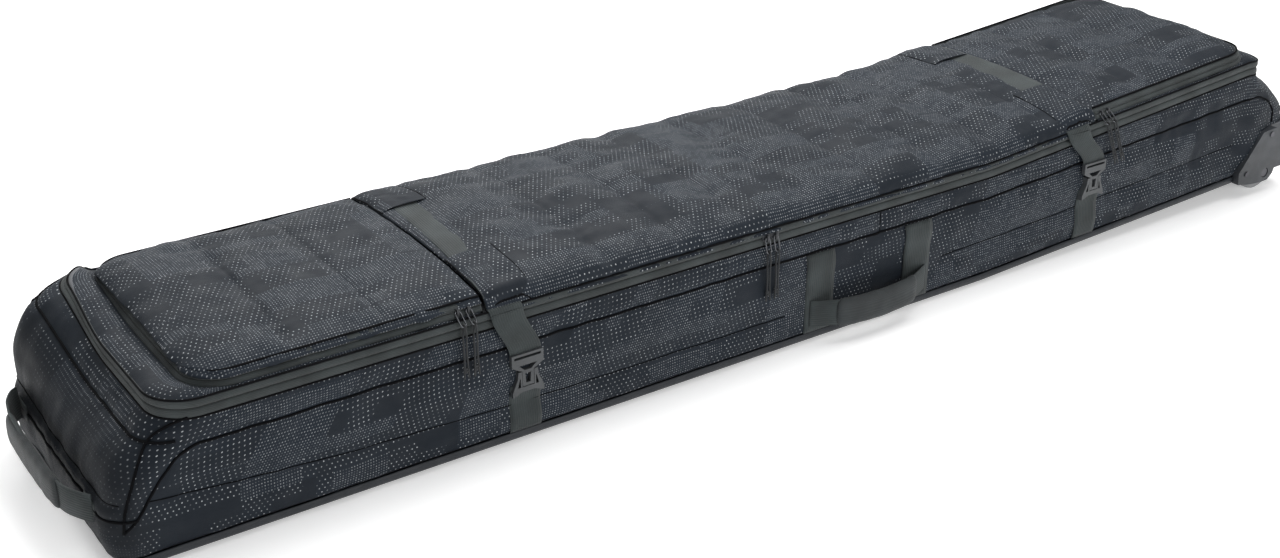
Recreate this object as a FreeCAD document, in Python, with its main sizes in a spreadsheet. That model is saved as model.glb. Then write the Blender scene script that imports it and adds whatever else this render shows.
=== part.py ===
import FreeCAD, Part
import math
import os
import Sketcher
from FreeCAD import Placement, Rotation, Vector

# Roller bag for snowboards: a long padded box of fabric with a zipped lid, two zipped pockets on the
# lid, two closing straps with side-release buckles, a grip on the nose, a grip on the side and two
# wheels in moulded corner housings. Millimetres. +X runs from the nose grip to the wheels, +Y from the
# zip side to the side where the lid is sewn on, +Z up. The origin is the middle of the base, on the floor.

DRIVING = {
    # whole bag
    "length": 1950,
    "width": 367,
    "bend_x": 305,  # the straight front part ends here and the raised wheel part begins
    "base_slope": 0.040,  # how fast base, piping and top rise behind the bend
    "seam_slope": 0.058,
    "top_slope": 0.075,
    # shell
    "wall": 5,
    "base_thickness": 4,
    "band_height": 15,
    "piping_height": 134,
    "piping_radius": 1.5,
    "board_thickness": 3,
    "nose_foot": 73,  # height of the upright nose panel
    "nose_seam_height": 147,
    "nose_seam_back": 54,
    "nose_zip_back": 67,
    "wheel_foot": 140,
    "wheel_zip_back": 75,
    # zips
    "zip_low": 168,
    "zip_high": 188,
    "tape": 1.5,
    "zip_gap": 1.6,
    # lid
    "liner_low": 184,
    "liner_thickness": 3,
    "top_height": 206,
    "nose_pocket_end": 862,
    "nose_pocket_seam": 510.5,
    "wheel_pocket_end": 858,
    "wheel_pocket_seam": 511,
    "pocket_half_width": 174,
    "flap_thickness": 4,
    # straps and buckles
    "webbing_width": 44,
    "webbing_thickness": 2,
    "front_strap_x": -462.5,  # middle of the buckle
    "front_strap_top_x": -482,  # middle of the webbing on the lid
    "rear_strap_x": 509,
    "rear_strap_top_x": 482,
    "buckle_base_z": 69,
    "rear_buckle_rise": 20,
    "buckle_height": 57,
    "buckle_depth": 9,
    # zip sliders and pulls
    "slider_length": 13,
    "slider_height": 8.6,
    "plate": 1.6,
    "play": 0.35,
    "wire_radius": 1,
    "loop_length": 20,
    "loop_half_width": 3.5,
    "cord_diameter": 2.4,
    # wheels
    "wheel_radius": 33,
    "wheel_width": 24,
    "axle_x": 917,
    "axle_radius": 4,
    "bearing_radius": 11,
    "bearing_width": 7,
    "housing_front": 851,
    "housing_inner_y": 141,
    "housing_out": 11.5,
    # grips
    "grip_height": 42,
    "side_grip_low": 24,
    "nose_grip_low": 46,
}


class Dim:
    """A size that knows its number and the sheet formula that gives it."""

    def __init__(self, number, formula):
        self.number = number
        self.formula = formula

    def __add__(self, other):
        other = dim(other)
        return Dim(self.number + other.number, f"({self.formula} + {other.formula})")

    def __sub__(self, other):
        other = dim(other)
        return Dim(self.number - other.number, f"({self.formula} - {other.formula})")

    def __mul__(self, other):
        other = dim(other)
        return Dim(self.number * other.number, f"({self.formula} * {other.formula})")

    def __truediv__(self, other):
        other = dim(other)
        return Dim(self.number / other.number, f"({self.formula} / {other.formula})")

    def __neg__(self):
        return Dim(-self.number, f"(0 - {self.formula})")

    def __rsub__(self, other):
        return dim(other) - self

    __radd__ = __add__
    __rmul__ = __mul__


def dim(value):
    """A plain number as a Dim; a Dim stays as it is."""
    return value if isinstance(value, Dim) else Dim(float(value), f"({float(value)})")


class Sizes:
    """The driving sizes, one attribute each."""


def make_sheet(doc):
    sheet = doc.addObject("Spreadsheet::Sheet", "Sizes")
    sizes = Sizes()
    for row, (name, value) in enumerate(DRIVING.items(), start=1):
        sheet.set(f"A{row}", name)
        sheet.set(f"B{row}", str(value))
        sheet.setAlias(f"B{row}", name)
        setattr(sizes, name, Dim(float(value), f"Sizes.{name}"))
    doc.recompute()
    return sizes


doc = FreeCAD.newDocument("snowboard_bag")
S = make_sheet(doc)
NODES = []

NOSE = -S.length / 2
TAIL = S.length / 2
SIDE = S.width / 2
INSIDE = SIDE - S.wall
ZIP_MIDDLE = (S.zip_low + S.zip_high) / 2
NOSE_ZIP_X = NOSE + S.nose_zip_back
WHEEL_ZIP_X = TAIL - S.wheel_zip_back
LINER_TOP = S.liner_low + S.liner_thickness
TILT = math.degrees(math.atan(S.top_slope.number))


def node(thing, label):
    """Names a finished sub-part and puts it on the list that is written out."""
    thing.Label = label
    NODES.append(thing)
    return thing


def rise(x, slope):
    """How much higher a line is at x than in the straight front part."""
    return (dim(x) - S.bend_x) * slope


# ---------------------------------------------------------------- sketches and pads


def new_sketch(body, plane, offset=0):
    """A sketch on one of the body's own origin planes, moved along the plane's normal."""
    sketch = body.newObject("Sketcher::SketchObject", body.Name + "_sketch")
    support = [f for f in body.Origin.OriginFeatures if f.Role == plane][0]
    sketch.AttachmentSupport = [(support, "")]
    sketch.MapMode = "FlatFace"
    offset = dim(offset)
    sketch.AttachmentOffset = Placement(Vector(0, 0, offset.number), Rotation())
    sketch.setExpression("AttachmentOffset.Base.z", offset.formula)
    return sketch


def bind(sketch, constraint, size):
    index = sketch.addConstraint(constraint)
    sketch.setExpression(f"Constraints[{index}]", size.formula)


def draw_polygon(sketch, points):
    """A closed outline; both coordinates of every corner are bound to the sheet."""
    points = [(dim(u), dim(w)) for u, w in points]
    first = sketch.GeometryCount
    count = len(points)
    for i in range(count):
        (u0, w0), (u1, w1) = points[i], points[(i + 1) % count]
        start = Vector(u0.number, w0.number, 0)
        end = Vector(u1.number, w1.number, 0)
        sketch.addGeometry(Part.LineSegment(start, end))
    for i in range(count):
        following = first + (i + 1) % count
        sketch.addConstraint(Sketcher.Constraint("Coincident", first + i, 2, following, 1))
    for i, (u, w) in enumerate(points):
        bind(sketch, Sketcher.Constraint("DistanceX", first + i, 1, u.number), u)
        bind(sketch, Sketcher.Constraint("DistanceY", first + i, 1, w.number), w)


def draw_circle(sketch, u, w, radius):
    u, w, radius = dim(u), dim(w), dim(radius)
    centre = Vector(u.number, w.number, 0)
    index = sketch.addGeometry(Part.Circle(centre, Vector(0, 0, 1), radius.number))
    bind(sketch, Sketcher.Constraint("DistanceX", index, 3, u.number), u)
    bind(sketch, Sketcher.Constraint("DistanceY", index, 3, w.number), w)
    bind(sketch, Sketcher.Constraint("Radius", index, radius.number), radius)


def extrude(body, kind, plane, outlines, low, high, circles=()):
    """Pads or pockets outlines between two places along the plane's own axis (Y for XZ_Plane, Z for
    XY_Plane, X for YZ_Plane). XZ_Plane's normal points along -Y, so its offset starts at the high end."""
    low, high = dim(low), dim(high)
    if low.number > high.number:
        low, high = high, low
    start = -high if plane == "XZ_Plane" else low
    sketch = new_sketch(body, plane, start)
    for points in outlines:
        draw_polygon(sketch, points)
    for u, w, radius in circles:
        draw_circle(sketch, u, w, radius)
    feature = body.newObject("PartDesign::" + kind, body.Name + "_" + kind.lower())
    feature.Profile = sketch
    length = high - low
    feature.Length = length.number
    feature.setExpression("Length", length.formula)
    before = body.Shape.Volume if kind == "Pocket" else 0
    if kind == "Pocket":
        feature.Reversed = True  # a pocket cuts against its sketch's normal unless it is reversed
    sketch.Visibility = False
    doc.recompute()
    if kind == "Pocket" and feature.Shape.Volume >= before - 1e-6:
        raise RuntimeError(f"{body.Label}: a pocket cut nothing")
    return feature


def new_body(label):
    body = doc.addObject("PartDesign::Body", label)
    body.Label = label
    return body


def padded(label, plane, points, low, high):
    """One outline, padded."""
    body = new_body(label)
    extrude(body, "Pad", plane, [points], low, high)
    return body


def layer_points(x0, x1, low, high, slope):
    """Side outline of a layer that is level up to the bend and rises behind it."""
    low, high = dim(low), dim(high)
    return [
        (x0, low),
        (S.bend_x, low),
        (x1, low + rise(x1, slope)),
        (x1, high + rise(x1, slope)),
        (S.bend_x, high),
        (x0, high),
    ]


def raised_points(x0, x1, low, high, slope):
    """Side outline of a short layer that lies wholly behind the bend."""
    low, high = dim(low), dim(high)
    return [
        (x0, low + rise(x0, slope)),
        (x1, low + rise(x1, slope)),
        (x1, high + rise(x1, slope)),
        (x0, high + rise(x0, slope)),
    ]


def common(label, first, second):
    cut = doc.addObject("Part::Common", label)
    cut.Base = first
    cut.Tool = second
    doc.recompute()
    return cut


def group(label, members):
    """Separate solids that share one node."""
    compound = doc.addObject("Part::Compound", label)
    compound.Links = members
    doc.recompute()
    return compound


def place(thing, x, y, z):
    """Moves a body that was made at the origin; the three distances stay bound to the sheet."""
    thing.Placement = Placement(Vector(dim(x).number, dim(y).number, dim(z).number), Rotation())
    for axis, distance in (("x", x), ("y", y), ("z", z)):
        thing.setExpression("Placement.Base." + axis, dim(distance).formula)
    return thing


def tilt(thing):
    """Turns a piece of the raised part about the bend, so that it lies along the top."""
    pivot = Vector(S.bend_x.number, 0, S.top_height.number)
    thing.Placement = Placement(Vector(), Rotation(Vector(0, 1, 0), -TILT), pivot)
    return thing


# ---------------------------------------------------------------- shell


def make_base_tray():
    """Coated base with turned-up edges; its corners leave room for the wheel housings."""
    corner = NOSE + 35
    end_rise = rise(TAIL, S.base_slope)
    thick = S.base_thickness
    outer = [
        (NOSE, 14),
        (corner, 0),
        (S.bend_x, 0),
        (TAIL, end_rise),
        (TAIL, end_rise + S.band_height),
        (S.bend_x, S.band_height),
        (NOSE, S.band_height),
    ]
    above = S.band_height * 6
    inner = [
        (NOSE + thick, 16),
        (corner + 2, thick),
        (S.bend_x, thick),
        (TAIL - thick, end_rise + thick),
        (TAIL - thick, above),
        (NOSE + thick, above),
    ]
    body = new_body("base_tray")
    extrude(body, "Pad", "XZ_Plane", [outer], -SIDE, SIDE)
    extrude(body, "Pocket", "XZ_Plane", [inner], thick - SIDE, SIDE - thick)
    notches = []
    for sign in (-1, 1):
        near = (S.housing_inner_y - 3) * sign
        far = (SIDE + 10) * sign
        front = S.housing_front - 0.4
        notches.append([(front, near), (TAIL + 10, near), (TAIL + 10, far), (front, far)])
    extrude(body, "Pocket", "XY_Plane", notches, -10, 120)
    node(body, "base_tray")


def make_base_board():
    low = S.base_thickness + 0.3
    points = layer_points(NOSE + 45, S.housing_front - 11, low, low + S.board_thickness, S.base_slope)
    node(padded("base_board", "XZ_Plane", points, -165, 165), "base_board")


def seam_points():
    """The piping seam round the side panel, from the bottom of the nose to the wheel housing."""
    height = S.piping_height
    return [
        (NOSE + 14, 48),
        (NOSE + 32, 65),
        (NOSE + 59, 104),
        (NOSE + 82, 127),
        (NOSE + 105, height),
        (S.bend_x, height),
        (TAIL - 113, height + rise(TAIL - 113, S.seam_slope)),
        (TAIL - 84, height + rise(TAIL - 84, S.seam_slope) + 2),
        (TAIL - 62, 159),
        (TAIL - 45, 136),
        (TAIL - 45, 114),
    ]


def make_side_panel(side, sign):
    """Padded side below the piping; its wheel end follows the housing's slanted front edge."""
    low = S.band_height + 0.2
    front = S.housing_front
    edge_rise = rise(front, S.base_slope)
    points = [(NOSE + 10, low), (S.bend_x, low), (front - 0.5, low + edge_rise)]
    points += [(front - 0.8, 49), (front + 45, 108.6), (TAIL - 45.5, 112)]
    seam = list(reversed(seam_points()))
    points += [(x - 0.2 if i == 0 else x, z) for i, (x, z) in enumerate(seam)]
    body = padded("side_panel_" + side, "XZ_Plane", points, SIDE * sign, INSIDE * sign)
    node(body, "side_panel_" + side)


def make_gusset(side, sign, top):
    """Side band between the piping and the zip; it widens over the nose and the wheel end."""
    end = TAIL - 0.5
    points = [(NOSE + 0.5, S.band_height + 0.3), (NOSE + 0.5, S.nose_foot)]
    points += [(NOSE + S.nose_seam_back, S.nose_seam_height), (NOSE_ZIP_X, top)]
    points += [(S.bend_x, top), (WHEEL_ZIP_X, top + rise(WHEEL_ZIP_X, S.top_slope))]
    points += [(end, S.wheel_foot + 5), (end, 112.3), (TAIL - 44.8, 112.3)]
    points += [(x, z + 0.2) for x, z in reversed(seam_points()[:-1])]
    points += [(NOSE + 9, S.band_height + 0.3)]
    body = padded("side_gusset_" + side, "XZ_Plane", points, SIDE * sign, INSIDE * sign)
    node(body, "side_gusset_" + side)


def rounded_path(points, smallest=0.0, closed=False):
    """Straight runs joined by tangent arcs; each arc is as large as its two runs allow."""
    points = [Vector(*p) for p in points]
    count = len(points)
    corners = range(count) if closed else range(1, count - 1)
    starts, edges, radii = {}, [], []
    for i in corners:
        before, here, after = points[i - 1], points[i], points[(i + 1) % count]
        arriving = (here - before).normalize()
        leaving = (after - here).normalize()
        half_turn = arriving.getAngle(leaving) / 2
        cut = 0.45 * min((here - before).Length, (after - here).Length)
        radius = cut / math.tan(half_turn)
        start, end = here - arriving * cut, here + leaving * cut
        inward = (leaving - arriving).normalize()
        middle = here + inward * (radius / math.cos(half_turn) - radius)
        starts[i] = (start, Part.Arc(start, middle, end).toShape(), end)
        radii.append(round(radius, 1))
    if closed:
        for i in range(count):
            edges.append(starts[i][1])
            edges.append(Part.LineSegment(starts[i][2], starts[(i + 1) % count][0]).toShape())
    else:
        here = points[0]
        for i in range(1, count - 1):
            edges.append(Part.LineSegment(here, starts[i][0]).toShape())
            edges.append(starts[i][1])
            here = starts[i][2]
        edges.append(Part.LineSegment(here, points[-1]).toShape())
    return Part.Wire(edges), radii


def tube(label, points, radius, closed=False):
    """A round bar along a path, as a Part feature; its volume is compared with section times length."""
    path, radii = rounded_path(points, closed=closed)
    first = path.Edges[1] if closed else path.Edges[0]
    at = first.valueAt(first.FirstParameter)
    along = first.tangentAt(first.FirstParameter)
    if closed:
        path = Part.Wire(path.Edges[1:] + path.Edges[:1])
    profile = Part.Wire(Part.Circle(at, along, radius).toShape())
    shape = path.makePipeShell([profile], True, False)
    if shape.Volume < 0:
        shape.reverse()
    expected = math.pi * radius**2 * path.Length
    if abs(shape.Volume - expected) > 0.02 * expected:
        raise RuntimeError(f"{label}: volume {shape.Volume:.1f} instead of {expected:.1f}")
    feature = doc.addObject("Part::Feature", label)
    feature.Shape = shape
    return feature, radii, path.Length


def make_piping():
    """The round piping on the seam of both sides."""
    bars = []
    for sign in (-1, 1):
        y = (SIDE + S.piping_radius + 0.05).number * sign
        route = [(dim(x).number, y, dim(z).number) for x, z in seam_points()]
        bar, _, _ = tube("piping_bar", route, S.piping_radius.number)
        bars.append(bar)
    node(group("piping", bars), "piping")


def make_end_panels():
    """Upright and sloping panels that close the nose and the wheel end."""
    across = INSIDE - 0.1
    wall = S.wall
    low = S.band_height + 0.2
    foot = [(NOSE, low), (NOSE + wall - 1, low), (NOSE + wall - 1, S.nose_foot), (NOSE, S.nose_foot)]
    node(padded("nose_end_panel", "XZ_Plane", foot, -across, across), "nose_end_panel")
    seam_x = NOSE + S.nose_seam_back
    shoulder = [
        (NOSE, S.nose_foot + 0.2),
        (seam_x, S.nose_seam_height),
        (NOSE_ZIP_X, S.zip_low - 0.2),
        (NOSE_ZIP_X + 6, S.zip_low - 0.2),
        (seam_x + 5, S.nose_seam_height - 2),
        (NOSE + 6, S.nose_foot + 0.2),
    ]
    node(padded("nose_shoulder_panel", "XZ_Plane", shoulder, -across, across), "nose_shoulder_panel")
    bottom = rise(TAIL, S.base_slope) + S.band_height + 0.3
    beside = S.housing_inner_y - 3
    over = 112.3
    end = [
        (-beside, bottom),
        (beside, bottom),
        (beside, over),
        (across, over),
        (across, S.wheel_foot),
        (-across, S.wheel_foot),
        (-across, over),
        (-beside, over),
    ]
    node(padded("wheel_end_panel", "YZ_Plane", end, TAIL - wall, TAIL), "wheel_end_panel")
    top = S.zip_low + rise(WHEEL_ZIP_X, S.top_slope) - 0.3
    slope = [
        (TAIL, S.wheel_foot + 0.2),
        (WHEEL_ZIP_X, top),
        (WHEEL_ZIP_X - 6, top),
        (TAIL - 6, S.wheel_foot + 0.2),
    ]
    node(padded("wheel_shoulder_panel", "XZ_Plane", slope, -across, across), "wheel_shoulder_panel")


def open_frame(x0, x1, half_width, thick, far_y, open_end=None):
    """Plan outline of a band on three sides: across both ends and along the zip side, or, for a
    pocket, along both sides and across one end."""
    x0, x1, half_width = dim(x0), dim(x1), dim(half_width)
    if open_end is None:
        return [
            (x0, far_y),
            (x0, -half_width),
            (x1, -half_width),
            (x1, far_y),
            (x1 - thick, far_y),
            (x1 - thick, thick - half_width),
            (x0 + thick, thick - half_width),
            (x0 + thick, far_y),
        ]
    inwards = thick if open_end.number > x0.number else -thick
    return [
        (open_end, half_width),
        (x0, half_width),
        (x0, -half_width),
        (open_end, -half_width),
        (open_end, thick - half_width),
        (x0 + inwards, thick - half_width),
        (x0 + inwards, half_width - thick),
        (open_end, half_width - thick),
    ]


def make_zip_tape(label, low, high):
    """One tape of the main zip: an upright band round three sides that follows the bent top line."""
    outline = open_frame(NOSE_ZIP_X, WHEEL_ZIP_X, SIDE, S.tape, INSIDE - 0.3)
    band = padded(label + "_band", "XY_Plane", outline, 100, 320)
    side = layer_points(NOSE - 50, TAIL + 50, low, high, S.top_slope)
    slab = padded(label + "_slab", "XZ_Plane", side, -SIDE - 20, SIDE + 20)
    node(common(label, band, slab), label)


# ---------------------------------------------------------------- lid, pockets and flaps


def make_lid():
    liner = layer_points(NOSE_ZIP_X + 1.8, WHEEL_ZIP_X - 1.8, S.liner_low, LINER_TOP, S.top_slope)
    node(padded("lid_liner", "XZ_Plane", liner, 1.8 - SIDE, SIDE - 0.2), "lid_liner")
    quilt = layer_points(
        0.9 - S.nose_pocket_seam, S.wheel_pocket_seam - 0.9, LINER_TOP + 0.2, S.top_height, S.top_slope
    )
    node(padded("lid_quilt", "XZ_Plane", quilt, 1.8 - SIDE, SIDE - 1.8), "lid_quilt")


def make_pocket(name, end, seam, raised):
    """Side wall with the lower zip tape, on the lid, and the flap with the upper tape."""
    tape_middle = S.top_height - S.flap_thickness - 5
    frame = open_frame(end, end, S.pocket_half_width, S.tape, 0, seam)
    wall = padded(name + "_pocket_wall", "XY_Plane", frame, LINER_TOP + 0.2, tape_middle - S.zip_gap / 2)
    node(wall, name + "_pocket_wall")
    flap = new_body(name + "_pocket_flap")
    under = S.top_height - S.flap_thickness
    reach = S.pocket_half_width + 1.5
    over = end - 1.5 if end.number < seam.number else end + 1.5
    sheet = [(over, -reach), (seam, -reach), (seam, reach), (over, reach)]
    extrude(flap, "Pad", "XY_Plane", [sheet], under, S.top_height)
    extrude(flap, "Pad", "XY_Plane", [frame], tape_middle + S.zip_gap / 2, under)
    node(flap, name + "_pocket_flap")
    if raised:
        tilt(wall)
        tilt(flap)


# ---------------------------------------------------------------- closing straps


def make_straps():
    """Webbing over the lid, the sleeves that hold it down and the drops to the buckles; the ends that
    are sewn on the side are returned. The drops lean, as each buckle sits further back than its strap."""
    half = S.webbing_width / 2
    thick = S.webbing_thickness
    overhang = SIDE + 5.4
    low = S.top_height + 0.2
    plan = [
        ("front", S.front_strap_top_x, S.front_strap_x, (26, 37), False),
        ("rear", S.rear_strap_top_x, S.rear_strap_x, (41, 26), True),
    ]
    tops, sleeves, anchors = [], [], []
    for name, x, buckle_x, reach, raised in plan:
        slope = S.top_slope if raised else dim(0)
        flat = raised_points(x - half, x + half, low, low + thick, slope)
        tops.append(padded(name + "_top", "XZ_Plane", flat, -overhang, SIDE - 3))
        cover = raised_points(x - reach[0], x + reach[1], low + thick + 0.3, low + thick + 2, slope)
        for sign in (-1, 1):
            body = padded(name + "_sleeve", "XZ_Plane", cover, (SIDE - 2) * sign, (SIDE - 100) * sign)
            sleeves.append(body)
        buckle = S.buckle_base_z + (S.rear_buckle_rise if raised else 0)
        under = buckle + S.buckle_height + 0.3
        top = S.top_height + (rise(x - half, slope) if raised else 0) - 2
        narrow = half - 0.5
        strip = [(buckle_x - narrow, under), (buckle_x + narrow, under), (x + narrow, top)]
        strip += [(x - narrow, top)]
        drop = padded(name + "_strap_drop", "XZ_Plane", strip, -overhang, thick - overhang)
        node(drop, name + "_strap_drop")
        base = S.band_height + 1 + (rise(buckle_x, S.base_slope) if raised else 0)
        outline = [(buckle_x - half, -SIDE - 1.8), (buckle_x + half, -SIDE - 1.8)]
        outline += [(buckle_x + half, -SIDE - 0.2), (buckle_x - half, -SIDE - 0.2)]
        anchors.append(padded(name + "_strap_end", "XY_Plane", outline, base, buckle + 15))
    node(group("lid_straps", tops), "lid_straps")
    node(group("strap_sleeves", sleeves), "strap_sleeves")
    return anchors


def make_buckle(name, x, rise_by):
    """Side-release buckle: a flared base with a channel that is open to the front and the top, and a
    clip with a ladder for the webbing and a tongue that slides up out of the channel."""
    z = S.buckle_base_z + rise_by
    back = -SIDE - 2.1
    front = back - S.buckle_depth
    floor = back - 2.5
    half = S.webbing_width / 2

    def at(outline):
        return [(x + u, z + w) for u, w in outline]

    base = new_body(name + "_buckle_base")
    flared = [(-half, 0), (-9, 5.5), (9, 5.5), (half, 0), (half, 7), (14.5, 24), (13.5, 33)]
    flared += [(-13.5, 33), (-14.5, 24), (-half, 7)]
    extrude(base, "Pad", "XZ_Plane", [at(flared)], front, back)
    channel = [(-8.5, 12), (8.5, 12), (8.5, 40), (-8.5, 40)]
    extrude(base, "Pocket", "XZ_Plane", [at(channel)], front - 5, floor)
    windows = []
    for sign in (-1, 1):
        windows.append(at([(10.6 * sign, 12), (14.8 * sign, 12), (11.6 * sign, 24), (10.6 * sign, 24)]))
    extrude(base, "Pocket", "XZ_Plane", windows, front - 5, floor)
    node(base, name + "_buckle_base")

    clip = new_body(name + "_buckle_clip")
    outline = [(-8, 13), (8, 13), (8, 33.5), (12.5, 35.5), (half, 41), (half, 57), (-half, 57)]
    outline += [(-half, 41), (-12.5, 35.5), (-8, 33.5)]
    extrude(clip, "Pad", "XZ_Plane", [at(outline)], front + 0.2, floor - 0.4)
    holes = [at([(-18.5, 50.5), (18.5, 50.5), (18.5, 53.8), (-18.5, 53.8)])]
    holes.append(at([(-4.5, 34.5), (4.5, 34.5), (12.5, 41.5), (-12.5, 41.5)]))
    holes.append(at([(-3, 17), (3, 17), (4, 30), (-4, 30)]))
    extrude(clip, "Pocket", "XZ_Plane", holes, front - 5, back)
    node(clip, name + "_buckle_clip")


# ---------------------------------------------------------------- zip sliders and pulls


def make_slider(name, x, tape_y, z, raised=False):
    """Two plates on either side of the tapes, a post in the gap between them and a bridge for the pull."""
    outer = tape_y - S.play
    face = outer - S.plate
    inner = tape_y + S.tape + S.play
    half = S.slider_length / 2
    tall = S.slider_height / 2
    body = new_body(name)

    def block(half_x, z0, z1, low, high):
        points = [(x - half_x, z + z0), (x + half_x, z + z0), (x + half_x, z + z1), (x - half_x, z + z1)]
        extrude(body, "Pad", "XZ_Plane", [points], low, high)

    block(half, -tall, tall, face, outer)
    block(1.5, -0.5, 0.5, outer - 0.1, inner + 0.1)
    block(half - 1, -tall, tall, inner, inner + S.plate * 0.75)
    block(1.5, -tall + 0.2, -tall + 1.5, face - 4.6, face + 0.1)
    block(1.5, tall - 1.5, tall - 0.2, face - 4.6, face + 0.1)
    block(1.5, -tall + 0.2, tall - 0.2, face - 4.6, face - 3.4)
    if raised:
        tilt(body)
    node(body, name)
    return face


def turned_point(point, pivot, degrees):
    """A point turned outwards about a pivot's X axis."""
    y, z = point[1] - pivot[1], point[2] - pivot[2]
    c, s = math.cos(math.radians(degrees)), math.sin(math.radians(degrees))
    return (point[0], pivot[1] + y * c + z * s, pivot[2] - y * s + z * c)


CORD_ROUTE = [
    (-3.4, -0.9, -68),
    (-1.6, -0.2, -42),
    (-2.1, 0.3, -22),
    (-1.3, 1.5, -9),
    (0, 2.6, -2),
    (0, 2.6, 2.6),
    (0, -2.6, 2.6),
    (0, -2.6, -2),
    (1.3, -1.9, -9),
    (1.8, -0.7, -22),
    (1.5, -0.1, -42),
    (3.6, 0.4, -68),
]


def make_pull(name, x, pivot_y, z, lean, drift, raised=False):
    """A closed wire loop through the slider's bridge and the doubled cord that hangs from it. The loop
    leans outwards by lean degrees where it goes over the edge of the lid. The cord hangs down, and
    drift is how far it goes to the right for every millimetre of its height."""
    pivot = (x, pivot_y, z)
    half = S.loop_half_width.number
    long = S.loop_length.number
    corners = [(-half, 0), (half, 0), (half, -long), (-half, -long)]
    loop = [turned_point((x + u, pivot_y, z + w), pivot, lean) for u, w in corners]
    wire, _, _ = tube(name + "_pull_wire", loop, S.wire_radius.number, closed=True)
    if raised:
        tilt(wire)
    node(wire, name + "_pull_wire")
    low = turned_point((x, pivot_y, z - long), pivot, lean)
    if raised:
        turned = wire.Placement.multVec(Vector(*low))
        low = (turned.x, turned.y, turned.z)
    route = [(low[0] + u - drift * min(w + 2, 0), low[1] + v, low[2] + w) for u, v, w in CORD_ROUTE]
    cord, radii, length = tube(name + "_pull_cord", route, S.cord_diameter.number / 2)
    node(cord, name + "_pull_cord")
    return radii, length


def make_zip_hardware():
    """Two sliders on the main zip and two on each pocket zip, each with its pull."""
    main = (ZIP_MIDDLE, -SIDE, 15)
    pocket = (S.top_height - S.flap_thickness - 5, -S.pocket_half_width, 52)
    plan = [
        ("main_slider_left", -97, main, 0, False),
        ("main_slider_right", -83, main, 0, False),
        ("nose_slider_left", -545, pocket, 0, False),
        ("nose_slider_right", -531, pocket, 0, False),
        ("wheel_slider_left", 526, pocket, 0.42, True),
        ("wheel_slider_right", 540, pocket, 0.42, True),
    ]
    for name, x, (z, tape_y, lean), drift, raised in plan:
        face = make_slider(name, dim(x), tape_y, z, raised)
        radii, length = make_pull(name, x, face.number - 1.8, z.number, lean, drift, raised)
        print(f"{name}: cord {length:.0f} mm, radii {radii}")


# ---------------------------------------------------------------- wheels and housings


def revolved(label, profile):
    """A profile of (radius, place along Y) turned about the Y axis."""
    body = new_body(label)
    sketch = new_sketch(body, "XY_Plane")
    draw_polygon(sketch, profile)
    turn = body.newObject("PartDesign::Revolution", label + "_turn")
    turn.Profile = sketch
    turn.ReferenceAxis = (sketch, ["V_Axis"])
    turn.Angle = 360
    doc.recompute()
    return body


def make_wheel(side, sign):
    """Tyre, hub and two ball bearings, and the bolt that is their axle."""
    radius = S.wheel_radius
    half = S.wheel_width / 2
    seat = half - S.bearing_width
    rim = radius - 9
    y = (SIDE - 14.5) * sign
    tread = [(rim, -half + 1), (radius - 4, -half), (radius - 1, -half + 3), (radius, -half + 7)]
    tread += [(radius, half - 7), (radius - 1, half - 3), (radius - 4, half), (rim, half - 1)]
    tyre = revolved("tyre_" + side, tread)
    bore = S.bearing_radius
    core = [(bore, -half + 1), (rim - 0.05, -half + 1), (rim - 0.05, half - 1), (bore, half - 1)]
    core += [(bore, seat - 1), (bore - 2, seat - 1), (bore - 2, 1 - seat), (bore, 1 - seat)]
    hub = revolved("wheel_hub_" + side, core)
    rings = []
    for end in (-1, 1):
        inner, outer = (seat - 0.9) * end, (half - 1) * end
        ring = [(S.axle_radius + 0.05, inner), (bore - 0.02, inner)]
        ring += [(bore - 0.02, outer), (S.axle_radius + 0.05, outer)]
        if end < 0:
            ring.reverse()
        rings.append(revolved("bearing", ring))
    for piece in (tyre, hub, *rings):
        place(piece, S.axle_x, y, S.wheel_radius)
    node(tyre, "tyre_" + side)
    node(hub, "wheel_hub_" + side)
    node(group("wheel_bearings_" + side, rings), "wheel_bearings_" + side)


def make_housing(side, sign):
    """Moulded corner housing with a wheel well that is open below, a bolt seat and two screw holes."""
    front = S.housing_front
    inner = S.housing_inner_y
    axle_z = S.wheel_radius
    outside = SIDE + S.housing_out
    body = new_body("wheel_housing_" + side)
    block = [(front + 2, 27), (TAIL, 29), (TAIL, 112), (front + 49, 107), (front + 1, 48)]
    extrude(body, "Pad", "XZ_Plane", [block], SIDE * sign, inner * sign)
    plate = [(front + 2, 26), (front, 46), (front + 47, 106), (front + 66, 107.5), (front + 79, 107.5)]
    plate += [(front + 91, 88), (front + 93, 60), (front + 91, 44), (front + 85, 28), (front + 75, 19)]
    plate += [(front + 62, 18), (front + 34, 20)]
    extrude(body, "Pad", "XZ_Plane", [plate], outside * sign, (SIDE - 1) * sign)
    well = S.wheel_radius + 3
    turns = [math.radians(180 * k / 12) for k in range(13)]
    arch = [(S.axle_x + well * math.cos(a), axle_z + well * math.sin(a)) for a in turns]
    arch += [(S.axle_x - well, -5), (S.axle_x + well, -5)]
    extrude(body, "Pocket", "XZ_Plane", [arch], (SIDE - 1) * sign, (SIDE - 28) * sign)
    hole = [(S.axle_x, axle_z, S.axle_radius + 0.05)]
    extrude(body, "Pocket", "XZ_Plane", [], (outside + 5) * sign, (inner - 5) * sign, hole)
    seat = [(S.axle_x, axle_z, 8)]
    extrude(body, "Pocket", "XZ_Plane", [], (outside + 5) * sign, (outside - 5) * sign, seat)
    screws = [(front + 19, 41, 2.3), (front + 68, 99, 2.3)]
    extrude(body, "Pocket", "XZ_Plane", [], (outside + 5) * sign, (outside - 12) * sign, screws)
    node(body, "wheel_housing_" + side)


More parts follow.
